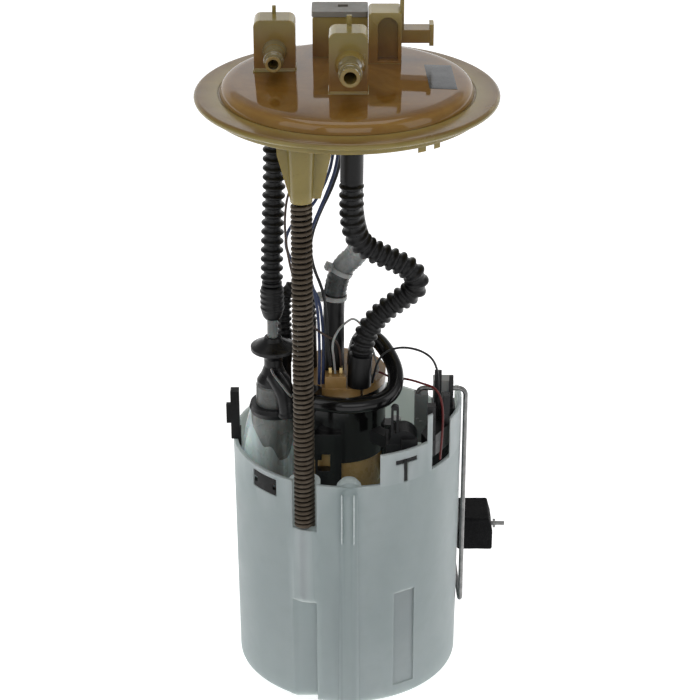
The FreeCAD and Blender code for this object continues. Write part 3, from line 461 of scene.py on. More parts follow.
def amber_material():
    m = Mat("amber_plastic", Subsurface_Weight=0.25, Subsurface_Scale=0.004, IOR=1.49, Coat_Weight=0.12, Coat_Roughness=0.05, Coat_IOR=1.5)
    m.b.inputs["Subsurface Radius"].default_value = (1.0, 0.6, 0.18)
    flow = m.noise(22, 3, 0.5, 1.2)
    col = m.ramp(flow, [(0.3, (0.215, 0.165, 0.040)), (0.72, (0.30, 0.235, 0.065))])
    geo = m.nt.nodes.new("ShaderNodeNewGeometry")
    nz = m.node("SeparateXYZ", Vector=geo.outputs["Normal"]).outputs["Z"]
    # Painted shade: faces that look up, between the disc top (z 327.6 mm) and z 337 mm, are mixed to a darker, deeper
    # brown than the sides.
    up_face_shade = m.ramp(m.noise(30, 4, 0.55, 1.0), [(0.3, (0.165, 0.092, 0.020)), (0.7, (0.235, 0.140, 0.034))])
    oz = m.node("SeparateXYZ", Vector=m.tc.outputs["Object"]).outputs["Z"]
    high = m.node("Math", Value=m.span(oz, 0.3264, 0.3276, 0, 1))
    high.operation = "MULTIPLY"
    m.nt.links.new(m.span(oz, 0.3370, 0.3380, 1, 0), high.inputs[1])
    rim = m.node("Math", Value=high.outputs[0])
    rim.operation = "MULTIPLY"
    m.nt.links.new(m.span(nz, 0.1, 0.5, 0, 1), rim.inputs[1])
    col = m.mixed(rim.outputs[0], col, up_face_shade)
    # Painted light: from z 334.2 mm the colour turns more orange, fading out between 341 and 361.5 mm, for light coming
    # through the amber at the pillars' feet.
    low = m.node("Math", Value=m.span(oz, 0.3342, 0.3350, 0, 1))
    low.operation = "MULTIPLY"
    m.nt.links.new(m.span(oz, 0.341, 0.3615, 0.9, 0.0), low.inputs[1])
    col = m.mixed(low.outputs[0], col, m.ramp(m.noise(45, 3, 0.5, 1.5), [(0.3, (0.19, 0.080, 0.012)), (0.7, (0.27, 0.130, 0.022))]))
    # Painted highlight: convex edges are mixed towards a light yellow.
    col = m.mixed(m.span(geo.outputs["Pointiness"], 0.52, 0.6, 0, 0.5), col, (0.42, 0.34, 0.12))
    speck = m.noise(900, 2, 0.5)
    col = m.mixed(m.span(speck, 0.66, 0.8, 0, 0.35), col, (0.16, 0.09, 0.025))
    m.set("Base Color", col)
    m.set("Roughness", m.span(m.noise(70, 4, 0.6), 0.3, 0.7, 0.14, 0.28))
    m.relief([(m.noise(55, 2, 0.5), 0.22, 0.0003), (m.noise(1700, 2, 0.5), 0.2, 0.00002)], 0.0006)
    return m.m


def plateau_material():
    m = Mat("amber_gloss", Subsurface_Weight=0.2, Subsurface_Scale=0.004, IOR=1.52)
    m.b.inputs["Subsurface Radius"].default_value = (1.0, 0.5, 0.12)
    flow = m.noise(26, 5, 0.6, 1.6)
    col = m.ramp(flow, [(0.3, (0.155, 0.068, 0.010)), (0.55, (0.205, 0.098, 0.018)), (0.75, (0.27, 0.14, 0.030))])
    swirl = m.noise(9, 2, 0.5, 3.0, (1, 2.2, 1))
    col = m.mixed(m.span(swirl, 0.45, 0.7, 0, 0.4), col, (0.23, 0.13, 0.035))
    oz = m.node("SeparateXYZ", Vector=m.tc.outputs["Object"]).outputs["Z"]
    # Painted light: below z 333.5 mm the plateau's rounded edge and wall are mixed to a lighter orange than its top.
    col = m.mixed(m.span(oz, 0.3315, 0.3335, 0.8, 0), col, m.ramp(m.noise(34, 3, 0.5, 1.0), [(0.3, (0.28, 0.145, 0.028)), (0.7, (0.37, 0.215, 0.05))]))
    m.set("Base Color", col)
    m.set("Roughness", m.span(m.noise(60, 4, 0.6), 0.3, 0.7, 0.03, 0.075))
    m.relief([(m.noise(38, 2, 0.5), 0.05, 0.0003)])
    return m.m


# Copies of the amber painted lighter for the filter lid and case, to offset the shade they sit in inside the can:
# painted light.
def lightened_amber_material(name="amber_lid_painted_light", dark=(0.30, 0.17, 0.055), light=(0.40, 0.245, 0.09)):
    m = Mat(name, Subsurface_Weight=0.15, Subsurface_Scale=0.003, IOR=1.5)
    m.b.inputs["Subsurface Radius"].default_value = (1.0, 0.6, 0.2)
    col = m.ramp(m.noise(40, 4, 0.55, 1.0), [(0.3, dark), (0.7, light)])
    m.set("Base Color", col)
    m.set("Roughness", m.span(m.noise(70, 4, 0.6), 0.3, 0.7, 0.2, 0.36))
    m.relief([(m.noise(55, 2, 0.5), 0.25, 0.0003), (m.noise(1700, 2, 0.5), 0.2, 0.00002)], 0.0005)
    return m.m


def foam_material():
    m = Mat("foam", Specular_IOR_Level=0.2)
    pores = m.node("TexVoronoi", Vector=m.coords(), Scale=1500.0, Randomness=1.0).outputs["Distance"]
    big = m.noise(130, 4, 0.6)
    col = m.ramp(big, [(0.3, (0.0025, 0.0025, 0.003)), (0.7, (0.006, 0.006, 0.0065))])
    col = m.mixed(m.span(pores, 0.1, 0.4, 0.25, 0), col, (0.022, 0.022, 0.023))
    m.set("Base Color", col)
    m.set("Roughness", m.span(pores, 0.1, 0.5, 0.6, 0.85))
    m.relief([(big, 0.5, 0.0004), (pores, 0.7, 0.00012)], 0.0005)
    return m.m


def paper_material():
    m = Mat("paper", Specular_IOR_Level=0.2)
    f = m.noise(900, 4, 0.7, 0.4, (1, 1, 0.3))
    m.set("Base Color", m.ramp(f, [(0.3, (0.70, 0.64, 0.48)), (0.7, (0.82, 0.76, 0.60))]))
    m.set("Roughness", m.span(f, 0.3, 0.7, 0.75, 0.95))
    m.relief([(f, 0.5, 0.0001)])
    return m.m


def spring_material():
    m = Mat("spring_steel", Metallic=1.0)
    st = m.noise(220, 4, 0.6, 0.4)
    oil = m.noise(35, 3, 0.6, 0.6)
    col = m.ramp(st, [(0.28, (0.075, 0.06, 0.044)), (0.55, (0.13, 0.107, 0.084)), (0.78, (0.19, 0.165, 0.135))])
    col = m.mixed(m.span(oil, 0.35, 0.7, 0, 0.6), col, (0.10, 0.078, 0.056))
    m.set("Base Color", col)
    m.set("Roughness", m.span(oil, 0.3, 0.7, 0.42, 0.6))
    m.relief([(m.noise(1600, 3, 0.6), 0.25, 0.00002)])
    return m.m


BLACK, BLACK2 = (0.004, 0.004, 0.0045), (0.010, 0.010, 0.011)
MATS = {
    "can_plastic": can_material(),
    "amber_plastic": amber_material(),
    "black_plastic": plastic("black_plastic", BLACK, BLACK2, (0.24, 0.42), 70, 1500, 0.00003, 0.0004, (0.035, 0.035, 0.037), IOR=1.5, Specular_IOR_Level=0.35),
    "grey_plastic": plastic("grey_plastic", (0.21, 0.215, 0.21), (0.29, 0.295, 0.285), (0.35, 0.5), 80, 1500, 0.00003, 0.0004, (0.42, 0.43, 0.42), Subsurface_Weight=0.1, Subsurface_Scale=0.002),
    "clear_plastic": plastic("clear_plastic", (0.19, 0.205, 0.20), (0.30, 0.32, 0.31), (0.14, 0.28), 60, 1200, 0.00002, 0.0004, None, Transmission_Weight=0.3, Subsurface_Weight=0.25, Subsurface_Scale=0.003, IOR=1.45),
    "hose_rubber": plastic("hose_rubber", (0.0035, 0.0035, 0.004), (0.0085, 0.0085, 0.009), (0.30, 0.48), 90, 1400, 0.00003, 0.0, (0.018, 0.018, 0.019), IOR=1.5, Specular_IOR_Level=0.36),
    "foam": foam_material(),
    "steel": metal("steel", (0.20, 0.20, 0.198), (0.33, 0.33, 0.326), (0.22, 0.38), 260),
    "spring_steel": spring_material(),
    "brass": metal("brass", (0.55, 0.40, 0.17), (0.76, 0.59, 0.30), (0.18, 0.34), 260),
    "copper": metal("copper", (0.50, 0.24, 0.13), (0.72, 0.38, 0.22), (0.2, 0.36), 260),
    "magnet": plastic("magnet", (0.035, 0.035, 0.038), (0.075, 0.075, 0.08), (0.5, 0.7), 200, 1500, 0.00005, 0.0003),
    "paper": paper_material(),
    "wire_blue": plastic("wire_blue", (0.014, 0.028, 0.085), (0.028, 0.05, 0.14), (0.3, 0.45), 120, 1500, 0.00001, 0.0),
    "wire_black": plastic("wire_black", (0.006, 0.006, 0.007), (0.016, 0.016, 0.018), (0.3, 0.45), 120, 1500, 0.00001, 0.0),
    "wire_brown": plastic("wire_brown", (0.035, 0.018, 0.012), (0.07, 0.036, 0.024), (0.3, 0.45), 120, 1500, 0.00001, 0.0),
    "wire_red": plastic("wire_red", (0.10, 0.007, 0.006), (0.19, 0.015, 0.013), (0.3, 0.45), 120, 1500, 0.00001, 0.0),
    "white_nylon": plastic("white_nylon", (0.30, 0.31, 0.305), (0.40, 0.41, 0.40), (0.3, 0.45), 90, 1500, 0.00002, 0.0003, Subsurface_Weight=0.2, Subsurface_Scale=0.002),
}
# The lid's and case's ambers carry painted light; the case is painted much lighter than the lid.
PLATEAU, LID_AMBER_LIGHTENED = plateau_material(), lightened_amber_material()
CASE_AMBER_LIGHTENED = lightened_amber_material("amber_case_painted_light", (0.52, 0.33, 0.12), (0.66, 0.45, 0.19))
DULL = plastic("dull_black", (0.010, 0.0105, 0.011), (0.020, 0.0205, 0.022), (0.4, 0.6), 70, 1500, 0.00004, 0.0004, None, IOR=1.45, Specular_IOR_Level=0.3)
GLOSS = plastic("gloss_black", (0.004, 0.004, 0.0042), (0.009, 0.009, 0.0095), (0.10, 0.22), 60, 1300, 0.00003, 0.0004, None, IOR=1.5, Specular_IOR_Level=0.5)
PATCH = plastic("blank_patch", (0.040, 0.043, 0.046), (0.060, 0.064, 0.068), (0.16, 0.26), 90, 1500, 0.00001, 0.0, IOR=1.5)
CAP_GREY = plastic("cap_grey", (0.105, 0.096, 0.078), (0.15, 0.139, 0.115), (0.35, 0.5), 80, 1500, 0.00003, 0.0004, (0.34, 0.33, 0.30), Subsurface_Weight=0.1, Subsurface_Scale=0.002)
VALVE = plastic("valve_grey", (0.105, 0.112, 0.108), (0.17, 0.178, 0.172), (0.22, 0.38), 70, 1300, 0.00002, 0.0004, (0.32, 0.34, 0.33), Subsurface_Weight=0.2, Subsurface_Scale=0.002, IOR=1.46)
NIPPLE = plastic("nipple_amber", (0.16, 0.125, 0.055), (0.23, 0.19, 0.095), (0.05, 0.12), 120, 900, 0.00001, 0.0, None, Coat_Weight=1.0, Coat_Roughness=0.05, IOR=1.55)
def liner_material(name="funnel_liner", tones=((0.075, 0.08, 0.074), (0.135, 0.143, 0.132), (0.33, 0.355, 0.34)), pale=(0.45, 0.49, 0.48), left_light_share=0.45, painted_glow=0.0):
    m = Mat(name, Subsurface_Weight=0.4, Subsurface_Scale=0.004, Transmission_Weight=0.1, IOR=1.42)
    streak = m.noise(70, 4, 0.6, 1.4, (1, 1, 0.2))
    col = m.ramp(streak, [(0.32, tones[0]), (0.5, tones[1]), (0.66, tones[2])])
    # Painted light: towards the left (x below -36 mm) the colour is mixed towards the pale tone, and when a glow
    # strength is given the left side also emits a faint pale light.
    ox = m.node("SeparateXYZ", Vector=m.tc.outputs["Object"]).outputs["X"]
    col = m.mixed(m.span(ox, -0.052, -0.036, left_light_share, 0), col, pale)
    if painted_glow:
        m.b.inputs["Emission Color"].default_value = (0.92, 1.0, 0.98, 1)
        m.set("Emission Strength", m.span(ox, -0.054, -0.040, painted_glow, 0))
    m.set("Base Color", col)
    m.set("Roughness", m.span(m.noise(90, 3, 0.5), 0.3, 0.7, 0.2, 0.36))
    m.relief([(streak, 0.5, 0.0010), (m.noise(1300, 2, 0.5), 0.2, 0.00002)], 0.0004)
    return m.m


SPECIAL = {"valve_funnel": liner_material(), "filter_lid": LID_AMBER_LIGHTENED, "filter_case": CASE_AMBER_LIGHTENED, "can_latches": plastic("latch_black", (0.004, 0.0042, 0.0045), (0.0095, 0.0098, 0.0105), (0.4, 0.6), 70, 1500, 0.00004, 0.0004, None, IOR=1.45, Specular_IOR_Level=0.25), "side_bracket": DULL, "pump_holder": GLOSS, "connector_cap": CAP_GREY, "valve_body": VALVE}
for n, ob in frame["nodes"].items():
    ob.data.materials.clear()
    ob.data.materials.append(SPECIAL.get(n) or MATS[SLOT_OF[n]])

# ------------------------------------------------------------------ hoses and wires
def crossing(z0, z1):
    """The can and flange bodies with heights z0 and z1 (mm in, metres out); piece() bakes the world transform of a
    piece given it.
    """
    return (RES, FLA, (0, 0, z0 * 0.001), (0, 0, z1 * 0.001))


ROUTES = {
    "hose_right": [(2.4, -35, 312), (2.2, -35.2, 289), (2.4, -33.4, 268), (7.5, -30, 256.5), (19, -27, 249.5), (30, -24.6, 243), (35.6, -23.4, 236.5), (35, -21.8, 229), (28.5, -19.4, 223), (16.5, -16.8, 212.5), (9, -15.4, 200), (6.7, -15.7, 187), (6.3, -16, 171.2)],
    "hose_left": [(-36, -14, 312), (-36.2, -13.4, 290), (-37.2, -13, 268), (-38.2, -13.4, 247), (-38.5, -14, 228.2)],
    "hose_third": [(-20, 6, 171.2), (-20.3, 6.2, 187), (-20, 5.8, 203), (-20.2, 6, 215), (-26.7, 4.4, 219), (-33, 2.5, 215), (-33.4, 2.3, 203), (-33, 2.9, 189), (-33.3, 3.2, 175.6)],
    "hose_loop": [(4, 9, 171.2), (4.2, 9, 181), (8.5, 8, 189), (16, 4, 188), (22, -4, 183), (25.8, -13, 177), (24.8, -22, 171), (18, -29, 168), (7, -32, 167.4), (-1, -32.4, 167.2), (-8, -30.6, 167), (-16, -27.75, 166.8)],
    "hose_tied": [(-7, -6, 171.2), (-7, -6, 190), (-7, -5.4, 206), (-6.6, -4.8, 218), (-4.8, -4.2, 227.5), (-1.5, -3.6, 234.5), (4.5, -3.4, 239.5), (7.4, -4.4, 246.5), (4.4, -6, 256), (2.4, -8, 270), (2.8, -9.6, 288), (3, -10, 312)],
    "wire_blue_a": [(-3.5, -21.5, 312.8), (-4.5, -22, 298), (-9, -22.5, 284), (-15, -23, 270), (-20.5, -23.4, 255), (-20.5, -22.4, 240), (-16.8, -20.8, 228), (-15, -19.4, 216), (-14.4, -17.8, 201), (-14.3, -16.2, 186), (-14.7, -15.2, 171.2)],
    "wire_blue_b": [(-6, -19.4, 312.8), (-6.6, -20.2, 299), (-11.4, -21, 285), (-18, -21.2, 273), (-26.5, -20.4, 266), (-31.5, -19.4, 256), (-29.5, -18.8, 245), (-22, -17.8, 234), (-14.6, -17, 223), (-12.6, -16.4, 208), (-12.2, -15.4, 189), (-12.7, -14.6, 171.2)],
    "wire_black": [(-2.2, -17.5, 312.8), (-2.6, -17, 298), (-7, -16.6, 283), (-14, -16, 268), (-19, -14.8, 252), (-17.5, -14.2, 238), (-12.2, -15, 225), (-10.6, -17.2, 212), (-10.2, -18.6, 200), (-9.8, -17.8, 191), (-8.8, -16.8, 182.9)],
    "wire_brown": [(-10.4, -22.6, 312.8), (-14, -25, 304), (-22, -28.5, 297), (-29, -30, 286), (-31, -30, 272), (-30.6, -28.4, 258), (-29, -27, 246), (-26.5, -25.4, 234), (-23.5, -24, 222), (-18, -22.4, 208), (-10.8, -21.4, 202), (-5.4, -20.6, 199), (-3.4, -18, 191), (-3.2, -16.8, 182.9)],
    "wire_white": [(-6.2, -16.8, 178.2), (-6.8, -18, 187), (-7.6, -22.4, 195), (-7, -24, 202), (-3.6, -21.6, 207), (0, -14.4, 207), (3.4, -5.6, 205), (8, 0, 198), (12.6, -0.8, 187), (15.8, -6.4, 178.5), (16.4, -10.4, 175.6), (14.4, -11.8, 175.2), (12.5, -11.4, 173.9), (12.4, -11.4, 171.2)],
    "wire_sender_black": [(13.2, -13.6, 171.2), (14.6, -15.2, 181), (18, -15.4, 188.5), (24, -16, 192.4), (31, -18, 194), (38.7, -19.5, 192.6), (44.5, -19.2, 188), (47.4, -17.6, 179.5), (47.8, -16.6, 168), (47.8, -16.6, 152.6)],
    "wire_sender_red": [(14, -7.4, 171.2), (14.2, -6.8, 174.6), (17.6, -5.6, 173.2), (22.6, -6.6, 170.6), (28, -11.6, 172.8), (34, -16.4, 174), (40, -22, 174.6), (45, -27, 175.4), (48.2, -31.5, 172.8), (49.6, -35, 166), (49.4, -36.8, 153), (48.4, -36.4, 138)],
}


def wire(name, node, slot, r, blend=None, key=None):
    pts = smooth_line(ROUTES[key or name], 0.9)
    wob = random.Random(len(name) * 7 + int(r * 100))
    ph = wob.uniform(0, 6)
    ob = piece(name + "_run", tube(pts, lambda s, t: r * 0.001 * (1 + 0.03 * math.sin(s * 900 + ph)), 12), RES, MATS[slot], (node,), 60, blend)
    return pts


def run(name, node, slot, radius, seg=22, step=0.5, blend=None, mat=None):
    pts = smooth_line(ROUTES[name], step)
    ob = piece(name + "_run", tube(pts, radius, seg), RES, mat or MATS[slot], (node,), 60, blend)
    return pts


run("hose_right", "hose_right", "hose_rubber", ribbed(4.6, 6.25, 4.85, 19, 18, 5.7, 6.2), 28, 0.42, crossing(176, 300))
run("hose_left", "hose_left", "hose_rubber", ribbed(4.2, 5.85, 4.85, 3, 1.5, 5.2, 5.2), 28, 0.42, crossing(229, 306))
run("hose_third", "hose_third", "hose_rubber", ribbed(3.3, 4.25, 3.6, 26, 16, 4.1, 4.1), 22, 0.36)
run("hose_loop", "hose_loop", "hose_rubber", lambda s, t: 0.0042, 28, 0.8, mat=GLOSS)
tied_line = run("hose_tied", "hose_tied", "hose_rubber", lambda q, t: 0.0055, 28, 0.8, crossing(246, 304))
wire("wire_blue_a", "wires_blue", "wire_blue", 0.8, crossing(196, 300))
wire("wire_blue_b", "wires_blue", "wire_blue", 0.8, crossing(196, 300))
wire("wire_black", "wire_black", "wire_black", 0.8, crossing(196, 300))
wire("wire_brown", "wire_brown", "wire_brown", 0.6, crossing(190, 300))
wire("wire_white", "wire_white", "white_nylon", 0.6)
wire("wire_sender_black", "wire_sender_black", "wire_black", 0.6)
wire("wire_sender_red", "wire_sender_red", "wire_red", 0.6)

# ------------------------------------------------------------------ rod spring
def coil(cx, cy, z0, z1, big, small, turns, per=30, seg=10):
    """A helix with closed, ground end turns."""
    n = int(turns * per)
    pts = []
    for i in range(n + 1):
        t = i / n
        a = 2 * math.pi * turns * t
        lead = 1.2 / turns  # closed turns at each end
        low, high = z0 + small, z1 - small
        gap = 2 * small * 1.01
        if t < lead:
            z = low + gap * turns * t
        elif t > 1 - lead:
            z = high - gap * turns * (1 - t)
        else:
            u = (t - lead) / (1 - 2 * lead)
            u += 0.03 * (u * u - u)
            z = low + gap * turns * lead + (high - low - 2 * gap * turns * lead) * u
        pts.append(mm((cx + big * math.cos(a), cy + big * math.sin(a), z)))
    return tube(pts, lambda s, t: small * 0.001, seg)


spring = piece("rod_spring_coil", coil(-22, -53, 107.05, 289.3, 4.36, 1.1, 66), RES, MATS["spring_steel"], ("rod_spring",), 60)
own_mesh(spring)

VS_AT = frame["nodes"]["outlet_valve_spring"]
vb = [VS_AT.matrix_world @ Vector(c) for c in VS_AT.bound_box]
vx, vy = (min(c.x for c in vb) + max(c.x for c in vb)) * 500, (min(c.y for c in vb) + max(c.y for c in vb)) * 500
vr = (max(c.x for c in vb) - min(c.x for c in vb)) * 500 - 0.25
valve_coil = piece("outlet_valve_coil", coil(vx, vy, min(c.z for c in vb) * 1000, max(c.z for c in vb) * 1000, vr, 0.25, 7, 30, 8), RES, MATS["steel"], ("outlet_valve_spring",), 60)
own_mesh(valve_coil)

# ------------------------------------------------------------------ can details
def ridge(x, y, z0, z1, r=0.42, seg=14):
    pts = [mm((x, y, z0 + (z1 - z0) * q / 24)) for q in range(25)]
    return tube(pts, lambda q, t: r * 0.001 * min(1.0, 0.25 + q * 500, 0.25 + (t - q) * 500), seg)


# Painted highlight: the ridges are coloured paler than the can so they read as bright lines.
RIDGE_HIGHLIGHT = plastic("ridge_painted_highlight", (0.52, 0.58, 0.585), (0.62, 0.68, 0.68), (0.2, 0.3), 60, 1500, 0.00001, 0.0)
piece("column_ridges", merge(ridge(-2.75, -62.05, 101.5, 131.5), ridge(3.55, -62.65, 101.5, 131.5)), RES, RIDGE_HIGHLIGHT, (), 60)

# ------------------------------------------------------------------ flange
dome = [(0, 334.75), (14, 334.70), (26, 334.55), (36, 334.32), (45, 334.02), (52, 333.75), (57.2, 333.55, 2.0), (60.3, 332.75, 1.6), (62.1, 331.3, 1.2), (63.0, 329.2), (63.3, 327.5), (62.0, 327.2), (62.0, 327.3)]
piece("plateau_skin", lathe(dome, seg=160, n=5), FLA, PLATEAU, (), 60)
rim = [(67.6, 325.0), (75.2, 324.35, 0.8), (76.15, 325.3, 0.9), (76.2, 326.6, 1.2), (75.0, 327.75, 1.2), (72.0, 327.6), (64.0, 327.5)]
piece("rim_skin", shell(rim, seg=192, n=5), FLA, MATS["amber_plastic"], (), 60)
piece("skirt_step", shell([(68.2, 324.8), (69.4, 324.6, 0.4), (69.5, 322.0, 0.5), (69.0, 319.9, 0.5), (67.9, 319.6), (67.9, 324.0)], seg=192, n=4), FLA, MATS["amber_plastic"], (), 60)


def dome_height(r):
    for (a, p), (b, q) in zip([d[:2] for d in dome], [d[:2] for d in dome[1:]]):
        if a <= r <= b:
            return p + (q - p) * (r - a) / (b - a)
    return dome[0][1]


def draped(x0, x1, y0, y1, lift, n=14, skew=0.0):
    """A thin pad that follows the dome."""
    top, low = [], []
    for i in range(n + 1):
        for k in range(n + 1):
            y = y0 + (y1 - y0) * i / n
            x = x0 + (x1 - x0) * k / n + skew * (y1 - y) / (y1 - y0)
            edge = min(i, n - i, k, n - k)
            h = dome_height(math.hypot(x, y)) + lift * (0.55 if edge == 0 else 1.0)
            top.append(mm((x, y, h)))
            low.append(mm((x, y, h - lift - 0.25)))
    m = n + 1
    fs = [[i * m + k, i * m + k + 1, (i + 1) * m + k + 1, (i + 1) * m + k] for i in range(n) for k in range(n)]
    o = m * m
    fs += [[q + o for q in f[::-1]] for f in fs]
    rim = [k for k in range(m)] + [i * m + n for i in range(1, m)] + [n * m + k for k in range(n - 1, -1, -1)] + [i * m for i in range(n - 1, 0, -1)]
    fs += [[a, a + o, b + o, b] for a, b in zip(rim, rim[1:] + rim[:1])]
    return top + low, fs


piece("blank_patch", draped(38.8, 52.4, -16.0, 20.0, 0.22, 14, 1.6), FLA, PATCH, (), 60)


def nipple(x, y0, z, r, tip):
    prof = [(r + 2.3, 0), (r + 2.1, 1.2, 0.5), (r + 0.9, 4.2, 1.0), (r - 0.05, 7.0, 1.0), (r - 0.05, tip - 7.6, 0.6), (r + 1.1, tip - 6.6, 0.5), (r + 1.1, tip - 5.2, 0.5),
            (r + 0.02, tip - 4.2, 0.6), (r + 0.02, tip - 0.6, 0.5), (r - 0.7, tip + 0.02, 0.3), (r - 1.4, tip - 0.3), (r - 1.45, tip - 3.0)]
    return lathe(prof, (x, y0, z), "-y", 56, 5)


piece("nipple_return", nipple(-36.0, 9.0, 344.5, 3.96, 20.0), FLA, NIPPLE, (), 50)
piece("nipple_supply", nipple(1.6, -25.5, 349.5, 4.76, 20.0), FLA, NIPPLE, (), 50)
for k, (x, w, y, z0, z1) in enumerate(((-36.0, 20.8, 9.0, 335.2, 360.0), (0.75, 18.9, -25.5, 335.2, 364.8))):
    piece("pillar_web_%d" % k, merge(block(x - w / 2 + 0.2, x + w / 2 - 0.2, y - 0.35, y + 3, 333.6, 336.0, 0.5), block(x - w / 2 - 0.5, x + w / 2 + 0.5, y - 0.5, y + 13.5, 333.6, 334.9, 0.5)), FLA, MATS["amber_plastic"], (), 40)

# ------------------------------------------------------------------ left hose cuff, valve elbow
cuff = [(3.0, 209.6), (4.2, 209.5, 0.6), (5.4, 211.2, 1.2), (6.3, 214.6, 1.0)]
for k in range(4):
    z = 215.4 + 3.3 * k
    cuff += [(6.3, z, 0.4), (6.75, z + 0.5, 0.4), (6.75, z + 1.5, 0.4), (6.25, z + 2.0, 0.4)]
cuff += [(6.3, 228.4, 0.8), (5.6, 229.6, 0.6), (3.6, 229.8)]
CUFF_AT = frame["nodes"]["hose_left_cuff"]
cb = [CUFF_AT.matrix_world @ Vector(c) for c in CUFF_AT.bound_box]
cx, cy = (min(c.x for c in cb) + max(c.x for c in cb)) * 500, (min(c.y for c in cb) + max(c.y for c in cb)) * 500
cz0, cz1, cr = min(c.z for c in cb) * 1000, max(c.z for c in cb) * 1000, (max(c.x for c in cb) - min(c.x for c in cb)) * 500
k = (cz1 - cz0) / (229.8 - 209.5)
g = cr / 6.75
piece("hose_left_cuff_skin", lathe([(p[0] * g, cz0 + (p[1] - 209.5) * k) + tuple(p[2:]) for p in cuff], (cx, cy, 0), seg=64), RES, MATS["hose_rubber"], ("hose_left_cuff",), 50)
elbow = smooth_line([(-38.2, -19.5, 177.5), (-35.6, -23.6, 176.4), (-32.4, -26.4, 170.0), (-31.6, -27.4, 164.5), (-31.4, -26.6, 159.0)], 0.5)
piece("valve_elbow", merge(tube(elbow, lambda q, t: 0.0043, 28), lathe([(0, 0), (4.6, 0, 0.5), (4.9, 1.2, 0.5), (4.6, 2.6, 0.5), (0, 2.6)], (-31.4, -26.7, 158.4), seg=40)), RES, MATS["black_plastic"], (), 50)
strap = smooth_line([(-39.0, -24.4, 184.4), (-38.6, -28.6, 184.8), (-36.2, -31.6, 182.6), (-33.0, -32.6, 178.6), (-29.6, -32.2, 173.2), (-28.2, -29.4, 170.8), (-28.4, -26.0, 170.4)], 0.5)
piece("valve_strap", tube(strap, lambda q, t: 0.00062, 10), RES, MATS["clear_plastic"], (), 60)

# ------------------------------------------------------------------ flared skirt below the valve's ring
RING_AT = frame["nodes"]["valve_ring"]
rb = [RING_AT.matrix_world @ Vector(c) for c in RING_AT.bound_box]
rx, ry = (min(c.x for c in rb) + max(c.x for c in rb)) * 500, (min(c.y for c in rb) + max(c.y for c in rb)) * 500
rr, rz = (max(c.x for c in rb) - min(c.x for c in rb)) * 500, min(c.z for c in rb) * 1000


def skirt(thick=0.5, seg=144, rows=30, low=106.0):
    vs = []
    for off in (0.0, -thick):
        for i in range(rows + 1):
            t = i / rows
            z = rz + 0.3 - (rz - low) * t
            for k in range(seg):
                a = 2 * math.pi * k / seg
                reach = 1.2 + 8.5 * (0.5 - 0.5 * math.cos(a)) ** 1.2
                fold = (0.85 * math.sin(7 * a + 0.6) + 0.4 * math.sin(12 * a + 2.0 + 2.5 * t)) * t ** 0.7
                r = rr - 0.9 + reach * t ** 0.8 + fold
                x, y = rx + r * math.cos(a), ry + r * math.sin(a)
                d = math.hypot(x, y)
                if d > 57.6:
                    x, y = x * 57.6 / d, y * 57.6 / d
                g = (r + off) / r
                vs.append(mm((rx + (x - rx) * g, ry + (y - ry) * g, z)))
    n = (rows + 1) * seg
    fs = []
    for i in range(rows):
        for k in range(seg):
            a, b = i * seg + k, i * seg + (k + 1) % seg
            fs.append([a, b, b + seg, a + seg])
            fs.append([n + a, n + a + seg, n + b + seg, n + b])
    for i in (0, rows):
        for k in range(seg):
            a, b = i * seg + k, i * seg + (k + 1) % seg
            fs.append([a, b, n + b, n + a])
    return vs, fs


# The skirt gets strong painted light on its left and a faint painted glow there.
piece("valve_skirt", skirt(), RES, liner_material("skirt_clear", ((0.16, 0.17, 0.16), (0.31, 0.33, 0.315), (0.60, 0.64, 0.63)), (0.80, 0.86, 0.85), 0.85, 0.07), (), 60)

# ------------------------------------------------------------------ ties and wrap on the tied hose
def band(at, ax, r, wide, thick, seg=48):
    ax = Vector(ax).normalized()
    q = Vector((0, 0, 1)).rotation_difference(ax).to_matrix()
    vs, fs = shell([(r, -wide / 2, 0.2), (r + thick, -wide / 2, 0.3), (r + thick, wide / 2, 0.3), (r, wide / 2, 0.2)], seg=seg, n=2)
    return moved((vs, fs), at, q)


def tie(name, at, ax, r, head_turn):
    ring = band(at, ax, r, 2.5, 0.8)
    q = Vector((0, 0, 1)).rotation_difference(Vector(ax).normalized()).to_matrix() @ Matrix.Rotation(head_turn, 3, "Z")
    head = merge(block(-r - 3.4, -r + 0.3, -2.0, 2.2, -2.0, 2.0, 0.5), block(-r - 2.4, -r - 1.6, -5.0, 2.0, -1.1, 1.1, 0.25), block(-r - 3.7, -r - 3.0, -1.2, 1.4, -1.3, 1.3, 0.3))
    return piece(name, merge(ring, moved(head, at, q)), RES, MATS["white_nylon"], ("cable_ties",), 40)


tie("tie_upper", (-3.15, -3.9, 231.0), (3.3, 0.6, 7.0), 5.6, 0.25)
tie("tie_lower", (-6.4, -4.8, 216.9), (0.8, 0.4, 10.0), 5.6, 0.2)
wrap = Mat("wrap_sleeve", Transmission_Weight=0.35, IOR=1.3, Subsurface_Weight=0.2, Subsurface_Scale=0.002)
height = wrap.node("SeparateXYZ", Vector=wrap.tc.outputs["Object"]).outputs["Z"]
cloudy = wrap.ramp(wrap.noise(260, 4, 0.6, 0.8), [(0.3, (0.05, 0.055, 0.055)), (0.7, (0.13, 0.14, 0.138))])
pale = wrap.ramp(wrap.noise(180, 4, 0.6, 0.8), [(0.3, (0.40, 0.43, 0.425)), (0.7, (0.68, 0.71, 0.70))])
wrap.set("Base Color", wrap.mixed(wrap.span(height, 0.2285, 0.2415, 0, 1), cloudy, pale))
wrap.set("Roughness", wrap.span(wrap.noise(120, 3, 0.5), 0.3, 0.7, 0.08, 0.2))
wrap.relief([(wrap.noise(300, 3, 0.6, 1.0, (1, 1, 0.4)), 0.4, 0.0003)])
wrap_mat = wrap.m
cover = [p for p in tied_line if 0.2185 < p.z < 0.2475]
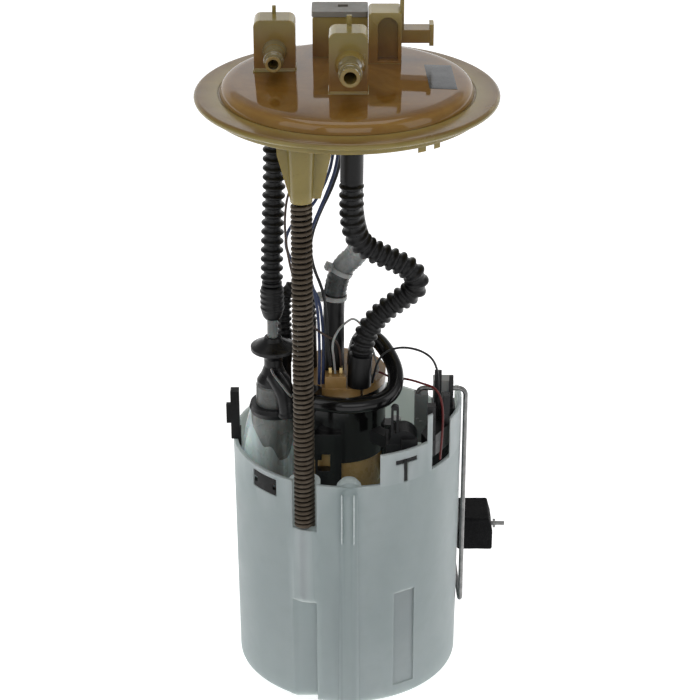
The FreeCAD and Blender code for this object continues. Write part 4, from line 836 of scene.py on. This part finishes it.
piece("wrap_sleeve", tube(cover, lambda q, t: 0.00585 + 0.00018 * math.sin(q * 2600), 32), RES, wrap_mat, (), 60, crossing(246, 304))

# ------------------------------------------------------------------ float
def foam_block(outline, cy, cz, half, rad=0.9, seg=128, rows=18):
    """A moulded foam block: the CAD outline (x, z) with soft, slightly uneven faces."""
    def along(c0, c1, t):
        return (c0[0] + (c1[0] - c0[0]) * t, c0[1] + (c1[1] - c0[1]) * t)
    start = along(outline[-1], outline[0], 0.5)
    line = rounded([start] + [(a, b, rad * 1.2) for a, b in outline] + [start], 5)
    at = [0.0]
    for a, b in zip(line, line[1:]):
        at.append(at[-1] + math.dist(a, b))
    loop, i = [], 0
    for q in range(seg):
        d = at[-1] * q / seg
        while at[i + 1] < d:
            i += 1
        loop.append(along(line[i], line[i + 1], (d - at[i]) / max(1e-9, at[i + 1] - at[i])))
    mx, mz = sum(a for a, b in loop) / seg, sum(b for a, b in loop) / seg
    levels = [(-half, 0.2), (-half, 0.45), (-half, 0.7), (-half, 0.88)]
    for k in range(6):
        a = math.pi / 2 * k / 5
        levels.append((-half + rad * (1 - math.cos(a)), ("in", rad * (1 - math.sin(a)))))
    body = [(-half + rad + (2 * half - 2 * rad) * k / rows, ("in", 0.0)) for k in range(1, rows)]
    levels = levels + body + [(-y, f) for y, f in reversed(levels)]
    vs = []

    def put(x, y, z):
        p = Vector((x, y, z))
        push = noise.noise_vector(p * 0.16) * 0.20 + noise.noise_vector(p * 0.55) * 0.07
        vs.append(mm(Vector((x + push.x, y + push.y + cy, z + push.z + cz))))
    put(mx, -half, mz)
    for y, f in levels:
        for x, z in loop:
            d = math.hypot(x - mx, z - mz)
            g = (d - f[1]) / d if isinstance(f, tuple) else f * (d - rad) / d
            put(mx + (x - mx) * g, y, mz + (z - mz) * g)
    put(mx, half, mz)
    fs = [[0, 1 + (k + 1) % seg, 1 + k] for k in range(seg)]
    for r in range(len(levels) - 1):
        for k in range(seg):
            a, b = 1 + r * seg + k, 1 + r * seg + (k + 1) % seg
            fs.append([a, b, b + seg, a + seg])
    last = 1 + (len(levels) - 1) * seg
    fs += [[len(vs) - 1, last + k, last + (k + 1) % seg] for k in range(seg)]
    return vs, fs


FL, FR = 62.9, 83.0
piece("float_foam", foam_block([(FL + 0.9, 10.1), (FL + 17.9, 10.1), (FR, 2.2), (FR, -10.1), (FL, -10.1), (FL, 0.8), (FL + 0.9, 1.6)], 50.0, 46.8, 12.3), FLO, MATS["foam"], ("float",), 60)

# ------------------------------------------------------------------ floor, light
def big_plane(name, size, loc, mat):
    me = bpy.data.meshes.new(name)
    s = size / 2
    me.from_pydata([(-s, -s, 0), (s, -s, 0), (s, s, 0), (-s, s, 0)], [], [(0, 1, 2, 3)])
    ob = bpy.data.objects.new(name, me)
    ob.location = loc
    SC.collection.objects.link(ob)
    me.materials.append(mat)
    ob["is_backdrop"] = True
    return ob


floor_mat = Mat("floor_white", Roughness=0.8, Specular_IOR_Level=0.0, Emission_Strength=1.0)
floor_mat.set("Base Color", floor_mat.ramp(floor_mat.noise(3, 3, 0.5), [(0.3, (0.86, 0.86, 0.86)), (0.7, (0.88, 0.88, 0.88))]))
far = floor_mat.node("SeparateXYZ", Vector=floor_mat.tc.outputs["Object"]).outputs["Y"]
floor_mat.set("Emission Color", floor_mat.mixed(floor_mat.span(far, -0.14, 0.02, 0, 1), (0.30, 0.30, 0.30), (0.86, 0.86, 0.86)))
big_plane("floor", 40, (0, 0, -0.0005), floor_mat.m)

world = bpy.data.worlds.new("studio")
SC.world = world
world.use_nodes = True
wt = world.node_tree
bg = wt.nodes["Background"]
wtc = wt.nodes.new("ShaderNodeTexCoord")
wsp = wt.nodes.new("ShaderNodeSeparateXYZ")
wt.links.new(wtc.outputs["Generated"], wsp.inputs[0])


def wspan(v, a, b, lo, hi):
    n = wt.nodes.new("ShaderNodeMapRange")
    wt.links.new(v, n.inputs[0])
    for k, x in zip((1, 2, 3, 4), (a, b, lo, hi)):
        n.inputs[k].default_value = x
    return n.outputs[0]


behind = wt.nodes.new("ShaderNodeMath")
behind.operation = "MULTIPLY"
wt.links.new(wspan(wsp.outputs["Y"], 0.5, 0.85, 0, 1), behind.inputs[0])
wt.links.new(wspan(wsp.outputs["Z"], 0.385, 0.42, 1, 0.28), behind.inputs[1])
wt.links.new(wspan(behind.outputs[0], 0, 1, 0.27, 0.95), bg.inputs[1])
bg.inputs[0].default_value = (1, 1, 1, 1)


def softbox(name, loc, aim, size, power, colour=(1, 1, 1)):
    li = bpy.data.lights.new(name, "AREA")
    li.shape = "RECTANGLE"
    li.size, li.size_y = size
    li.energy = power
    li.color = colour
    ob = bpy.data.objects.new(name, li)
    ob.location = loc
    ob.rotation_euler = (Vector(aim) - Vector(loc)).to_track_quat("-Z", "Y").to_euler()
    SC.collection.objects.link(ob)


softbox("key_left", (-0.9, -0.9, 1.1), (0, 0, 0.2), (0.9, 1.1), 2.9)
softbox("fill_right", (1.1, -0.5, 0.8), (0, 0, 0.18), (0.6, 0.9), 1.6)
softbox("front", (0.05, -1.5, 0.95), (0, 0, 0.15), (1.1, 0.8), 3.0)
softbox("top", (0, 0.1, 1.5), (0, 0, 0.2), (1.0, 0.8), 3.5)

VIS_BOX = listed(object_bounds())
